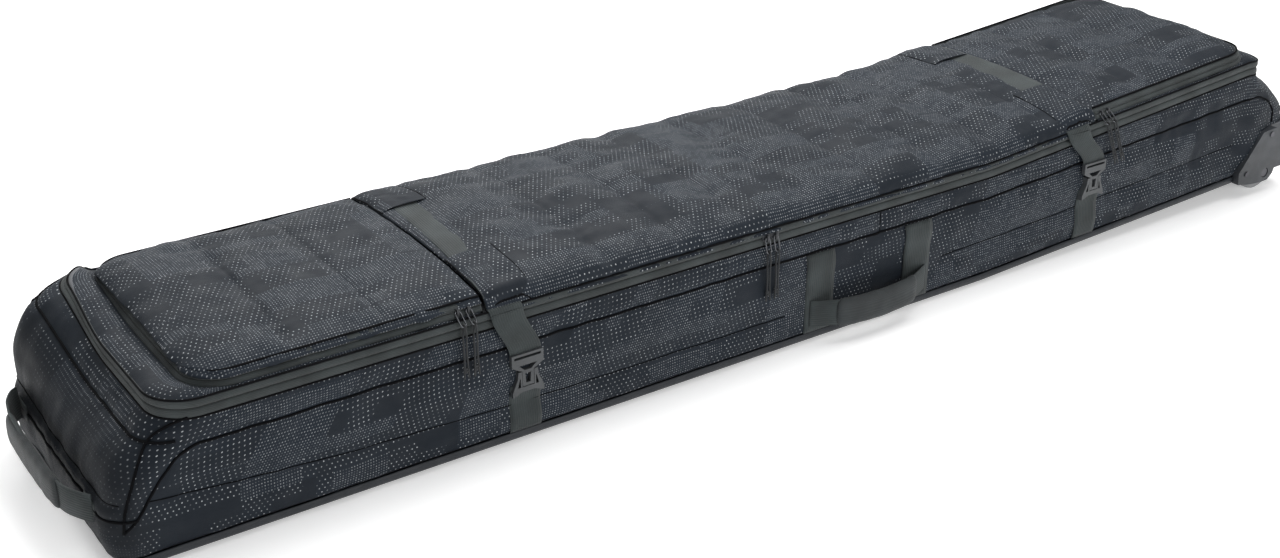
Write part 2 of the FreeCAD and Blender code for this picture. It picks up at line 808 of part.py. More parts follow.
def make_fasteners():
    """The axle bolts and the housing screws."""
    bolts, screws = [], []
    outside = SIDE + S.housing_out
    for sign in (-1, 1):
        long = outside - S.housing_inner_y
        shank = S.axle_radius
        profile = [(0, 1), (shank, 1), (shank, long - 5), (7, long - 5), (7, long - 1), (0, long - 1)]
        if sign < 0:
            profile = [(r, -along) for r, along in reversed(profile)]
        bolt = revolved("axle_bolt", profile)
        bolts.append(place(bolt, S.axle_x, S.housing_inner_y * sign, S.wheel_radius))
        for back, height in ((19, 41), (68, 99)):
            profile = [(0, -10), (2.2, -10), (2.2, 0.1), (4.5, 0.1), (4.5, 1.6), (0, 1.6)]
            if sign < 0:
                profile = [(r, -along) for r, along in reversed(profile)]
            screw = revolved("housing_screw", profile)
            screws.append(place(screw, S.housing_front + back, outside * sign, height))
    node(group("axle_bolts", bolts), "axle_bolts")
    node(group("housing_screws", screws), "housing_screws")


# ---------------------------------------------------------------- grips and inner straps


def make_side_grip(sewn_ends):
    """Padded grip between two webbing strips on the zip side. The strips and the sewn ends of the
    closing straps are one node, as all of them are webbing sewn flat on the sides."""
    strips = list(sewn_ends)
    for x in (-3, 170):
        outline = [(x - 24, -SIDE - 1.8), (x + 24, -SIDE - 1.8), (x + 24, -SIDE - 0.2)]
        outline += [(x - 24, -SIDE - 0.2)]
        strips.append(padded("side_grip_strip", "XY_Plane", outline, S.band_height + 1, S.piping_height - 2))
    node(group("side_webbing", strips), "side_webbing")
    close, gap, out = -SIDE - 2.3, -SIDE - 20, -SIDE - 32
    band = [(-20, close), (-24, close - 1.5), (24, out), (143, out), (191, close - 1.5), (187, close)]
    band += [(141, gap), (26, gap)]
    low = S.side_grip_low
    node(padded("side_grip", "XY_Plane", band, low, low + S.grip_height), "side_grip")


def make_nose_grip():
    """Padded grip between two webbing patches on the upright nose panel."""
    patches = []
    for y in (-123, 118):
        outline = [(NOSE - 1.8, y - 18), (NOSE - 0.2, y - 18), (NOSE - 0.2, y + 18), (NOSE - 1.8, y + 18)]
        top = S.nose_foot - 1
        patches.append(padded("nose_grip_patch", "XY_Plane", outline, top - S.grip_height + 3, top))
    node(group("nose_grip_webbing", patches), "nose_grip_webbing")
    close, gap, out = NOSE - 2.3, NOSE - 23, NOSE - 35
    band = [(close, -132), (close - 1.5, -136), (out, -87), (out, 82), (close - 1.5, 131), (close, 127)]
    band += [(gap, 80), (gap, -85)]
    low = S.nose_grip_low
    node(padded("nose_grip", "XY_Plane", band, low, low + S.grip_height), "nose_grip")


def make_tie_straps():
    """Two straps on the base board that hold the boards down, each with a ladder buckle."""
    pieces = []
    low = S.base_thickness + S.board_thickness + 0.6
    for x in (-420, 180):
        strap = [(x - 19, low), (x + 19, low), (x + 19, low + 1.5), (x - 19, low + 1.5)]
        pieces.append(padded("tie_strap", "XZ_Plane", strap, -160, 160))
        buckle = [(x - 24, low + 1.7), (x + 24, low + 1.7), (x + 24, low + 6.5), (x - 24, low + 6.5)]
        pieces.append(padded("tie_buckle", "XZ_Plane", buckle, -35, 25))
    node(group("tie_straps", pieces), "tie_straps")


# ---------------------------------------------------------------- the whole bag

make_base_tray()
make_base_board()
for side_name, side_sign in (("near", -1), ("far", 1)):
    make_side_panel(side_name, side_sign)
    make_wheel(side_name, side_sign)
    make_housing(side_name, side_sign)
make_gusset("near", -1, S.zip_low - 0.2)
make_gusset("far", 1, ZIP_MIDDLE - 0.5)
make_piping()
make_end_panels()
make_zip_tape("main_zip_lower_tape", S.zip_low, ZIP_MIDDLE - S.zip_gap / 2)
make_zip_tape("main_zip_upper_tape", ZIP_MIDDLE + S.zip_gap / 2, S.zip_high)
make_lid()
make_pocket("nose", -S.nose_pocket_end, -S.nose_pocket_seam - 1, False)
make_pocket("wheel", dim(S.wheel_pocket_end), S.wheel_pocket_seam + 1, True)
strap_ends = make_straps()
make_buckle("front", S.front_strap_x, dim(0))
make_buckle("rear", S.rear_strap_x, S.rear_buckle_rise)
make_zip_hardware()
make_fasteners()
make_side_grip(strap_ends)
make_nose_grip()
make_tie_straps()

doc.recompute()
for thing in doc.Objects:
    if "Invalid" in thing.State or "Error" in thing.State:
        raise RuntimeError(f"{thing.Label} failed: {thing.State}")
os.makedirs("parts", exist_ok=True)
for piece in NODES:
    if piece.Shape.isNull() or not piece.Shape.isValid():
        raise RuntimeError(f"{piece.Label} has no valid shape")
    piece.Shape.exportStep(f"parts/{piece.Label}.step")
print(len(NODES), "nodes")
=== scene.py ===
import math

import bpy
import numpy as np
from mathutils import Euler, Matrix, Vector, kdtree


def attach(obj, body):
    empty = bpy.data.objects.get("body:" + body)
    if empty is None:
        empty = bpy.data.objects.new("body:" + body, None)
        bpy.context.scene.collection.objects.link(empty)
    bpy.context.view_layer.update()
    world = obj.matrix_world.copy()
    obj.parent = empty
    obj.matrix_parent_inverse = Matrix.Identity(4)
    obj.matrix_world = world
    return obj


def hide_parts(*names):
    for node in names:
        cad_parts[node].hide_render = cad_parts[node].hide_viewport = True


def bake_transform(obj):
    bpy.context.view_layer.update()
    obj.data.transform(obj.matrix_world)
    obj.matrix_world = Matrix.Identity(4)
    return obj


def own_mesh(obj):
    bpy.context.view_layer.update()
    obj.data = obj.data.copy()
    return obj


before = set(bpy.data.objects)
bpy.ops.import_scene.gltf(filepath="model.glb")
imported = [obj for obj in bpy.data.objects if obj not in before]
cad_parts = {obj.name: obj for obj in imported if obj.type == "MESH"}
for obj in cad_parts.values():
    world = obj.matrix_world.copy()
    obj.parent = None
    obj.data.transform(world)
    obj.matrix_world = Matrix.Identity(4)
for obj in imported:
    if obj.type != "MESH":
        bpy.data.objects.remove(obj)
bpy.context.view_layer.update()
scene = bpy.context.scene

# ---------------------------------------------------------------- sizes of the bag, in metres

HALF = 0.1835  # half the width
BEND = 0.305  # the raised part starts here
BASE_SLOPE, SEAM_SLOPE, TOP_SLOPE = 0.040, 0.058, 0.075
BAND = 0.015  # height of the coated band
PIPING = 0.134
ZIP_LOW, ZIP_MID, ZIP_HIGH = 0.168, 0.178, 0.188
TOP = 0.206
HOUSING = 0.851  # where the wheel housings start
HOUSING_Y = 0.138
NOSE_POCKET, NOSE_SEAM = -0.862, -0.5105
WHEEL_POCKET, WHEEL_SEAM = 0.858, 0.511
POCKET_HALF = 0.174
TAIL_RADIUS = HALF - HOUSING_Y


def rise(x, slope):
    return np.maximum(0, np.asarray(x, float) - BEND) * slope


def nose_lift(x):
    """The base curves up towards the nose."""
    t = np.clip((-0.935 - np.asarray(x, float)) / 0.04, 0, 1)
    return 0.013 * t * t


def band_z(x):
    return rise(x, BASE_SLOPE) + BAND


def zip_z(x):
    return ZIP_LOW + rise(x, TOP_SLOPE)


# ---------------------------------------------------------------- camera

camera = bpy.data.objects.new("camera", bpy.data.cameras.new("camera"))
scene.collection.objects.link(camera)
camera.data.lens = 49.33
camera.location = (-1.3837, -1.7908, 1.1325)
camera.rotation_euler = Euler((math.radians(63.70), 0, math.radians(-34.163)))
scene.camera = camera

# ---------------------------------------------------------------- pull cords

SLIDERS = ["main_slider_left", "main_slider_right", "nose_slider_left", "nose_slider_right"]
SLIDERS += ["wheel_slider_left", "wheel_slider_right"]
CORD_ROUTE = [
    (-3.4, -0.9, -68),
    (-1.6, -0.2, -42),
    (-2.1, 0.3, -22),
    (-1.3, 1.5, -9),
    (0, 2.6, -2),
    (0, 2.6, 2.6),
    (0, -2.6, 2.6),
    (0, -2.6, -2),
    (1.3, -1.9, -9),
    (1.8, -0.7, -22),
    (1.5, -0.1, -42),
    (3.6, 0.4, -68),
]


def nurbs(name, points, radius):
    """A smooth line with these control points, as a round cord."""
    curve = bpy.data.curves.new(name, "CURVE")
    curve.dimensions = "3D"
    spline = curve.splines.new("NURBS")
    spline.points.add(len(points) - 1)
    for at, point in zip(spline.points, points):
        at.co = (*point, 1)
        at.radius = 0.01
    spline.order_u = 3
    spline.use_endpoint_u = True
    spline.resolution_u = 8
    curve.bevel_depth = radius / 0.01
    curve.bevel_resolution = 4
    thing = bpy.data.objects.new(name, curve)
    scene.collection.objects.link(thing)
    return thing


def link(name, mesh):
    thing = bpy.data.objects.new(name, mesh)
    scene.collection.objects.link(thing)
    return thing


def mesh_from(name, points, faces, uvs=None, loop_uvs=None):
    """A smooth mesh; uvs holds one pair per point and loop_uvs one per corner of a face, in metres."""
    mesh = bpy.data.meshes.new(name)
    mesh.from_pydata(np.asarray(points, float).tolist(), [], [tuple(map(int, f)) for f in faces])
    mesh.polygons.foreach_set("use_smooth", [True] * len(mesh.polygons))
    if uvs is not None:
        layer = mesh.uv_layers.new(name="cloth")
        loops = np.zeros(len(mesh.loops), int)
        mesh.loops.foreach_get("vertex_index", loops)
        layer.data.foreach_set("uv", np.asarray(uvs, float)[loops].ravel())
    if loop_uvs is not None:
        layer = mesh.uv_layers.new(name="cloth")
        layer.data.foreach_set("uv", np.asarray(loop_uvs, float).ravel())
    mesh.update()
    return link(name, mesh)


def grid_faces(rows, columns, wrap=False, keep=None):
    faces = []
    last = columns if wrap else columns - 1
    for i in range(rows - 1):
        for j in range(last):
            k = (j + 1) % columns
            if keep is None or keep[i, j]:
                faces.append((i * columns + j, i * columns + k, (i + 1) * columns + k, (i + 1) * columns + j))
    return faces


def frames(path):
    """Tangents and a twist-free pair of normals along a path."""
    path = np.asarray(path, float)
    tangents = np.gradient(path, axis=0)
    tangents /= np.linalg.norm(tangents, axis=1)[:, None]
    start = np.array([0, 0, 1.0]) if abs(tangents[0][2]) < 0.9 else np.array([0, 1.0, 0])
    first = np.cross(tangents[0], start)
    sides = [first / np.linalg.norm(first)]
    for t in tangents[1:]:
        side = sides[-1] - t * np.dot(sides[-1], t)
        sides.append(side / np.linalg.norm(side))
    sides = np.array(sides)
    return path, tangents, sides, np.cross(tangents, sides)


def tube(name, path, radius, around=10, closed=False):
    path, tangents, a, b = frames(path)
    turns = np.linspace(0, 2 * math.pi, around, endpoint=False)
    ring = np.cos(turns)[None, :, None] * a[:, None] + np.sin(turns)[None, :, None] * b[:, None]
    points = (path[:, None] + ring * radius).reshape(-1, 3)
    faces = grid_faces(len(path), around, wrap=True)
    if closed:
        last = (len(path) - 1) * around
        faces += [(last + j, last + (j + 1) % around, (j + 1) % around, j) for j in range(around)]
    else:
        faces.append(tuple(range(around))[::-1])
        last = (len(path) - 1) * around
        faces.append(tuple(range(last, last + around)))
    return mesh_from(name, points, faces)


def trefoil(centre, size, radius, name):
    t = np.linspace(0, 2 * math.pi, 60, endpoint=False)
    path = np.stack([np.sin(t) + 2 * np.sin(2 * t), -np.sin(3 * t), np.cos(t) - 2 * np.cos(2 * t)], 1)
    return tube(name, np.array(centre) + path * size * np.array([0.8, 0.9, 1.0]), radius, 8, closed=True)


cord_pieces = []
knot_pieces = []
LOOP_BOTTOM = {
    "main_slider_left": (-0.097, -0.19243, 0.15868),
    "main_slider_right": (-0.083, -0.19243, 0.15868),
    "nose_slider_left": (-0.545, -0.19351, 0.18469),
    "nose_slider_right": (-0.531, -0.19351, 0.18469),
    "wheel_slider_left": (0.52698, -0.19351, 0.20127),
    "wheel_slider_right": (0.54094, -0.19351, 0.20232),
}
for slider in SLIDERS:
    at_wheel = slider.startswith("wheel")
    drift = 0.42 if at_wheel else 0
    hang = Vector(LOOP_BOTTOM[slider])
    route = [
        (hang.x + (u - drift * min(w + 2, 0)) / 1000, hang.y + v / 1000, hang.z + w / 1000)
        for u, v, w in CORD_ROUTE
    ]
    cord = nurbs(slider + "_cord", route, 0.0012)
    knot_at = (hang.x + drift * 0.055 + 0.0001, hang.y - 0.0002, hang.z - 0.057)
    knot = trefoil(knot_at, 0.0011, 0.0012, slider + "_knot")
    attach(cord, slider + "_pull")
    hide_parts(slider + "_pull_cord")
    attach(knot, slider + "_pull")
    cord_pieces.append(cord)
    knot_pieces.append(knot)

# ---------------------------------------------------------------- noise, seams and padding


def hashed(cells, seed):
    n = cells[..., 0] * 374761393 + cells[..., 1] * 668265263 + cells[..., 2] * 2147483647 + seed * 974634777
    n = (n ^ (n >> 13)) * 1274126177
    n = n ^ (n >> 16)
    return (n & 0xFFFFFF) / float(0xFFFFFF) * 2 - 1


def noise(points, scale, seed=0):
    """Smooth value noise from -1 to 1."""
    q = np.asarray(points, float) / scale
    low = np.floor(q).astype(np.int64)
    f = q - low
    f = f * f * (3 - 2 * f)
    total = 0
    for corner in range(8):
        step = np.array([corner & 1, corner >> 1 & 1, corner >> 2 & 1])
        weight = np.prod(np.where(step == 1, f, 1 - f), axis=-1)
        total = total + weight * hashed(low + step, seed)
    return total


def resample(points, step=0.002):
    points = np.asarray(points, float)
    lengths = np.concatenate([[0], np.cumsum(np.linalg.norm(np.diff(points, axis=0), axis=1))])
    count = max(2, int(lengths[-1] / step) + 1)
    at = np.linspace(0, lengths[-1], count)
    return np.stack([np.interp(at, lengths, points[:, k]) for k in range(3)], 1)


def rounded(points, times=3):
    """A polyline with its corners cut several times."""
    points = np.asarray(points, float)
    for _ in range(times):
        q = points[:-1] * 0.75 + points[1:] * 0.25
        r = points[:-1] * 0.25 + points[1:] * 0.75
        middle = np.stack([q, r], 1).reshape(-1, points.shape[1])
        points = np.vstack([points[:1], middle, points[-1:]])
    return points


class Seams:
    """Sewn lines; near them a padded surface is drawn in and puckered."""

    def __init__(self, lines):
        self.lines = [resample(line) for line in lines]
        total = sum(len(line) for line in self.lines)
        self.tree = kdtree.KDTree(total)
        self.along = []
        for number, line in enumerate(self.lines):
            for k, point in enumerate(line):
                self.tree.insert(point, len(self.along))
                self.along.append((number * 7.31, k * 0.002))
        self.tree.balance()
        self.along = np.array(self.along)

    def nearest(self, points):
        found = [self.tree.find(p) for p in points.reshape(-1, 3)]
        distance = np.array([f[2] for f in found]).reshape(points.shape[:-1])
        index = np.array([f[1] for f in found]).reshape(points.shape[:-1])
        return distance, self.along[index]


def normals_of(points, wrap=False):
    du = np.gradient(points, axis=1)
    if wrap:
        du = (np.roll(points, -1, 1) - np.roll(points, 1, 1)) / 2
    dv = np.gradient(points, axis=0)
    n = np.cross(du, dv)
    length = np.linalg.norm(n, axis=-1, keepdims=True)
    return n / np.maximum(length, 1e-12)


def dress(points, normals, seams, puff, reach, groove=0.0016, pucker=0.0011, crumple=0.0012, seed=0):
    """Pushes a surface out between its seams, with puckers beside them and soft creases all over."""
    d, along = seams.nearest(points)
    swell = 1 - np.exp(-((d / reach) ** 1.4))
    ripple = np.stack([along[..., 1], along[..., 0], d * 0.35], -1)
    gathers = noise(ripple, 0.0095, seed + 1) * 0.7 + noise(ripple, 0.021, seed + 2)
    beside = np.exp(-d / 0.016) * (1 - np.exp(-d / 0.003))
    stretched = points * np.array([1, 1, 0.45])
    soft = noise(stretched, 0.055, seed + 3) + 0.5 * noise(stretched, 0.024, seed + 4)
    out = puff * swell - groove * np.exp(-((d / 0.0028) ** 2))
    out = out + pucker * beside * gathers + crumple * soft * (1 - np.exp(-d / 0.012))
    return points + normals * out[..., None]


def add_subdivision(thing, levels=1):
    modifier = thing.modifiers.new("smooth", "SUBSURF")
    modifier.levels = modifier.render_levels = levels


def add_thickness(thing, thickness, offset=-1):
    modifier = thing.modifiers.new("thickness", "SOLIDIFY")
    modifier.thickness = thickness
    modifier.offset = offset
    modifier.use_even_offset = False


def add_bevel(thing, width, segments=2):
    modifier = thing.modifiers.new("edges", "BEVEL")
    modifier.width = width
    modifier.segments = segments
    modifier.limit_method = "ANGLE"
    modifier.angle_limit = math.radians(35)


# ---------------------------------------------------------------- materials


class Graph:
    """A node tree written as plain arithmetic."""

    def __init__(self, name):
        self.material = bpy.data.materials.new(name)
        self.material.use_nodes = True
        self.tree = self.material.node_tree
        self.shader = self.tree.nodes["Principled BSDF"]

    def set(self, socket, value):
        if isinstance(value, bpy.types.NodeSocket):
            self.tree.links.new(value, socket)
        else:
            socket.default_value = value

    def math(self, operation, *values):
        node = self.tree.nodes.new("ShaderNodeMath")
        node.operation = operation
        for socket, value in zip(node.inputs, values):
            self.set(socket, value)
        return node.outputs[0]

    def add(self, a, b):
        return self.math("ADD", a, b)

    def mul(self, a, b):
        return self.math("MULTIPLY", a, b)

    def ramp(self, value, low, high, out_low=0.0, out_high=1.0):
        node = self.tree.nodes.new("ShaderNodeMapRange")
        node.interpolation_type = "SMOOTHSTEP"
        given = {"Value": value, "From Min": low, "From Max": high, "To Min": out_low, "To Max": out_high}
        for name, v in given.items():
            self.set(node.inputs[name], v)
        return node.outputs[0]

    def uv(self):
        node = self.tree.nodes.new("ShaderNodeUVMap")
        node.uv_map = "cloth"
        split = self.tree.nodes.new("ShaderNodeSeparateXYZ")
        self.tree.links.new(node.outputs[0], split.inputs[0])
        return split.outputs[0], split.outputs[1]

    def place(self):
        return self.tree.nodes.new("ShaderNodeTexCoord").outputs["Object"]

    def noise(self, scale, detail=2.0, vector=None, rough=0.5):
        node = self.tree.nodes.new("ShaderNodeTexNoise")
        self.tree.links.new(vector if vector is not None else self.place(), node.inputs["Vector"])
        node.inputs["Scale"].default_value = scale
        node.inputs["Detail"].default_value = detail
        node.inputs["Roughness"].default_value = rough
        return node.outputs[0]

    def combine(self, x, y, z=0.0):
        node = self.tree.nodes.new("ShaderNodeCombineXYZ")
        for socket, value in zip(node.inputs, (x, y, z)):
            self.set(socket, value)
        return node.outputs[0]

    def random(self, x, y, seed):
        node = self.tree.nodes.new("ShaderNodeTexWhiteNoise")
        node.noise_dimensions = "3D"
        self.tree.links.new(self.combine(x, y, seed), node.inputs[0])
        return node.outputs[0]

    def mix(self, factor, a, b):
        node = self.tree.nodes.new("ShaderNodeMix")
        node.data_type = "RGBA"
        self.set(node.inputs[0], factor)
        for socket, colour in ((node.inputs[6], a), (node.inputs[7], b)):
            self.set(socket, (*colour, 1) if isinstance(colour, tuple) else colour)
        return node.outputs[2]

    def bump(self, height, distance, strength=1.0, under=None):
        node = self.tree.nodes.new("ShaderNodeBump")
        self.set(node.inputs["Height"], height)
        node.inputs["Distance"].default_value = distance
        node.inputs["Strength"].default_value = strength
        if under is not None:
            self.tree.links.new(under, node.inputs["Normal"])
        return node.outputs[0]

    def nose(self, full, none):
        """1 at the nose end of the bag, falling to 0 further along it."""
        place = self.tree.nodes.new("ShaderNodeTexCoord")
        apart = self.tree.nodes.new("ShaderNodeSeparateXYZ")
        self.tree.links.new(place.outputs["Object"], apart.inputs[0])
        return self.ramp(apart.outputs[0], full, none, 1.0, 0.0)

    def finish(self, colour, roughness, normal=None, sheen=0.0, metallic=0.0, specular=0.5):
        self.set(self.shader.inputs["Base Color"], (*colour, 1) if isinstance(colour, tuple) else colour)
        self.set(self.shader.inputs["Roughness"], roughness)
        self.shader.inputs["Metallic"].default_value = metallic
        self.shader.inputs["Specular IOR Level"].default_value = specular
        self.shader.inputs["Sheen Weight"].default_value = sheen
        self.shader.inputs["Sheen Roughness"].default_value = 0.5
        if normal is not None:
            self.tree.links.new(normal, self.shader.inputs["Normal"])
        return self.material


def weave(g, u, v, pitch):
    a = g.math("SINE", g.mul(u, 2 * math.pi / pitch))
    b = g.math("SINE", g.mul(v, 2 * math.pi / pitch))
    return g.add(g.mul(g.mul(a, b), 0.5), 0.5)


def dots(g, u, v, pitch_u, pitch_v, radius, stagger, seed):
    """Rows of small round dots, some fainter than others."""
    row = g.math("FLOOR", g.math("DIVIDE", v, pitch_v))
    shift = g.mul(g.math("FLOORED_MODULO", row, 2.0), 0.5 if stagger else 0.0)
    along = g.add(g.math("DIVIDE", u, pitch_u), shift)
    du = g.mul(g.math("SUBTRACT", g.math("FRACT", along), 0.5), pitch_u)
    dv = g.mul(g.math("SUBTRACT", g.math("FRACT", g.math("DIVIDE", v, pitch_v)), 0.5), pitch_v)
    far = g.math("SQRT", g.add(g.mul(du, du), g.mul(dv, dv)))
    spot = g.ramp(far, radius * 0.7, radius * 1.3, 1.0, 0.0)
    return g.mul(spot, g.ramp(g.random(g.math("FLOOR", along), row, seed), 0.0, 1.0, 0.18, 1.0))


def printed(name, base, ink, amount):
    """Woven polyester with blocks of sparse dots, blocks of a fine grid and plain blocks; the sloped nose panel is
    darkened with painted shade.
    """
    g = Graph(name)
    u, v = g.uv()
    big = g.random(g.math("FLOOR", g.math("DIVIDE", u, 0.092)), g.math("FLOOR", g.math("DIVIDE", v, 0.047)), 3.0)
    small = g.random(
        g.math("FLOOR", g.math("DIVIDE", g.add(u, 0.013), 0.037)),
        g.math("FLOOR", g.math("DIVIDE", g.add(v, 0.008), 0.021)),
        9.0,
    )
    kind = g.add(g.mul(big, 0.62), g.mul(small, 0.38))
    sparse = g.mul(g.math("GREATER_THAN", kind, 1 - amount), g.math("LESS_THAN", kind, 0.56))
    dense = g.math("GREATER_THAN", kind, 0.56)
    spots = g.mul(dots(g, u, v, 0.0066, 0.0054, 0.00074, True, 1.0), sparse)
    fine = g.mul(dots(g, u, v, 0.0036, 0.0036, 0.00066, False, 2.0), g.mul(dense, 0.66))
    ink_mask = g.math("MINIMUM", g.add(spots, fine), 1.0)
    tone = g.add(g.ramp(kind, 0.1, 0.9, 0.86, 1.14), g.mul(g.noise(9, 3), 0.25))
    dark = tuple(c * 0.66 for c in base)
    light = tuple(c * 1.24 for c in base)
    cloth = g.mix(g.ramp(tone, 0.75, 1.45), dark, light)
    # The sloped nose panel: its dots thin out (print) and its cloth is darkened (painted shade).
    slope = g.nose(-0.965, -0.915)
    ink_mask = g.mul(ink_mask, g.ramp(slope, 0.0, 1.0, 1.0, 0.12))
    # Painted shade: the cloth on the sloped nose panel is mixed towards near-black.
    cloth = g.mix(g.mul(slope, 0.45), cloth, (0.006, 0.0065, 0.0072))
    colour = g.mix(g.mul(ink_mask, 0.85), cloth, ink)
    threads = weave(g, u, v, 0.0011)
    normal = g.bump(g.noise(70, 3), 0.0012, 0.5)
    normal = g.bump(threads, 0.00018, 0.55, normal)
    normal = g.bump(ink_mask, 0.0001, 0.4, normal)
    rough = g.ramp(g.noise(30, 2), 0.2, 0.8, 0.56, 0.74)
    return g.finish(colour, rough, normal, sheen=0.03, specular=0.2)


def ribbed(name, base, pitch_u, pitch_v, depth, rough, sheen=0.1, spread=0.3):
    """Woven tape with ribs across (u) and along (v) its length."""
    g = Graph(name)
    u, v = g.uv()
    a = g.math("SINE", g.mul(u, 2 * math.pi / pitch_u))
    b = g.math("SINE", g.mul(v, 2 * math.pi / pitch_v))
    ribs = g.add(g.mul(a, 0.35), g.mul(b, 0.65))
    tone = g.ramp(g.add(g.noise(22, 4), g.mul(ribs, 0.06)), 0.3, 0.75)
    colour = g.mix(tone, tuple(c * (1 - spread) for c in base), tuple(c * (1 + spread) for c in base))
    normal = g.bump(ribs, depth, 0.7, g.bump(g.noise(60, 2), 0.0006, 0.4))
    return g.finish(colour, rough, normal, sheen=sheen, specular=0.3)


def coated(name, base):
    """Tarpaulin: fabric under a coating, scuffed where it meets the floor."""
    g = Graph(name)
    u, v = g.uv()
    threads = weave(g, u, v, 0.0016)
    scuffs = g.ramp(g.noise(85, 6, rough=0.7), 0.56, 0.75)
    colour = g.mix(g.mul(scuffs, 0.35), base, tuple(c * 2.2 for c in base))
    normal = g.bump(threads, 0.00022, 0.5, g.bump(g.noise(28, 3), 0.0016, 0.6))
    rough = g.add(g.ramp(g.noise(40, 3), 0.3, 0.7, 0.42, 0.6), g.mul(scuffs, 0.1))
    return g.finish(colour, rough, normal, specular=0.4)


def plain(name, base, rough, grain=900.0, depth=0.0001, sheen=0.0, spread=0.18, specular=0.45, metallic=0.0):
    """Moulded, rubber or metal: a fine grain, slow changes of tone and small worn marks."""
    g = Graph(name)
    tone = g.ramp(g.noise(14, 4), 0.3, 0.7)
    marks = g.ramp(g.noise(120, 8, rough=0.75), 0.60, 0.72)
    colour = g.mix(tone, tuple(c * (1 - spread) for c in base), tuple(c * (1 + spread) for c in base))
    colour = g.mix(g.mul(marks, 0.25), colour, tuple(min(1, c * 1.8) for c in base))
    normal = g.bump(g.noise(grain, 2), depth, 0.5)
    roughness = g.ramp(g.noise(60, 3), 0.3, 0.7, rough - 0.06, rough + 0.06)
    return g.finish(colour, roughness, normal, sheen=sheen, specular=specular, metallic=metallic)


FABRIC = printed("printed_fabric", (0.0095, 0.0145, 0.0220), (0.56, 0.59, 0.62), 0.76)
LINING = ribbed("lining", (0.085, 0.09, 0.10), 0.0012, 0.0012, 0.0001, 0.6, 0.2)
WEBBING = ribbed("webbing", (0.030, 0.038, 0.039), 0.0014, 0.0032, 0.00035, 0.7)
ZIP_TAPE = ribbed("zip_tape", (0.036, 0.043, 0.044), 0.0011, 0.0019, 0.00030, 0.72)
COATED = coated("coated_fabric", (0.018, 0.021, 0.026))
PIPING_BLACK = plain("piping", (0.002, 0.0022, 0.003), 0.8, 1500, 0.0002, 0.0, specular=0.1)
BUCKLE = plain("buckle_plastic", (0.050, 0.054, 0.058), 0.42)
HOUSING_PLASTIC = plain("housing_plastic", (0.034, 0.038, 0.044), 0.46, 1100, 0.00016)
TYRE = plain("tyre", (0.25, 0.255, 0.26), 0.55, 700, 0.0002)
HUB = plain("hub", (0.09, 0.09, 0.10), 0.45)
STEEL = plain("fastener_steel", (0.09, 0.09, 0.10), 0.35, 1600, 0.00005, metallic=1.0)
WIRE = plain("pull_wire", (0.13, 0.135, 0.145), 0.30, 1600, 0.00004, metallic=1.0)
SLIDER_METAL = plain("slider_metal", (0.020, 0.022, 0.026), 0.38, 1300, 0.00005)
# Painted shade: the grip fabric is darker than the webbing because the grips sit in shadow low on the bag.
GRIP_PAD_PAINTED_SHADE = ribbed("grip_fabric_painted_shade", (0.024, 0.029, 0.031), 0.0012, 0.0016, 0.00022, 0.62)
CORD_PLAIN = plain("knot", (0.014, 0.016, 0.018), 0.75, 1400, 0.0003, 0.1)
BOARD = plain("board", (0.07, 0.07, 0.075), 0.8, 300, 0.0003)


PIECES = []
FOLDS = []


def finish_piece(thing, material, body, *replaced):
    """Material, body and the CAD nodes that a piece stands for."""
    PIECES.append(thing)
    thing.data.materials.clear()
    thing.data.materials.append(material)
    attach(thing, body)
    if replaced:
        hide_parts(*replaced)
    return thing


for cord, knot, slider in zip(cord_pieces, knot_pieces, SLIDERS):
    cord.data.materials.append(CORD_PLAIN)
    knot.data.materials.append(CORD_PLAIN)

# ---------------------------------------------------------------- walls and base


def soften(values, width):
    kernel = np.exp(-(np.linspace(-2, 2, 2 * width + 1) ** 2))
    kernel /= kernel.sum()
    wide = np.concatenate([[values[0]] * width, values, [values[-1]] * width])
    return np.convolve(wide, kernel, "valid")


LEVELS = np.linspace(0, 1, 34)
fine = np.linspace(0, 1, 200)
NOSE_X = np.interp(fine, [0, 0.33, 0.55, 0.72, 0.85, 1], [-0.975, -0.977, -0.966, -0.948, -0.929, -0.908])
TAIL_X = np.interp(fine, [0, 0.546, 1], [0.975, 0.975, 0.900])
NOSE_X, TAIL_X = soften(NOSE_X, 9), soften(TAIL_X, 12)


def nose_x(h):
    return np.interp(h, fine, NOSE_X)


def tail_x(h):
    return np.interp(h, fine, TAIL_X)


def nose_radius(h):
    return 0.030 + 0.020 * h


def outline(x0, x1, half, r0, r1, step=0.006, split=HOUSING):
    """Plan outline of a rounded rectangle, anticlockwise from the nose end of the near side.

    Every call with the same split gives the same number of points.
    """

    def straight(a, b, count):
        t = np.linspace(0, 1, count, endpoint=False)[:, None]
        return np.array(a) * (1 - t) + np.array(b) * t

    def corner(cx, cy, r, first):
        t = np.linspace(first, first + math.pi / 2, 14, endpoint=False)
        return np.stack([cx + r * np.cos(t), cy + r * np.sin(t)], 1)

    long = int((split + 0.95) / step)
    across = int(2 * HALF / step)
    parts = [
        straight((x0 + r0, -half), (split, -half), long),
        straight((split, -half), (x1 - r1, -half), 12),
        corner(x1 - r1, -half + r1, r1, -math.pi / 2),
        straight((x1, -half + r1), (x1, half - r1), across),
        corner(x1 - r1, half - r1, r1, 0),
        straight((x1 - r1, half), (split, half), 12),
        straight((split, half), (x0 + r0, half), long),
        corner(x0 + r0, half - r0, r0, math.pi / 2),
        straight((x0, half - r0), (x0, -half + r0), across),
        corner(x0 + r0, -half + r0, r0, math.pi),
    ]
    return np.vstack(parts)


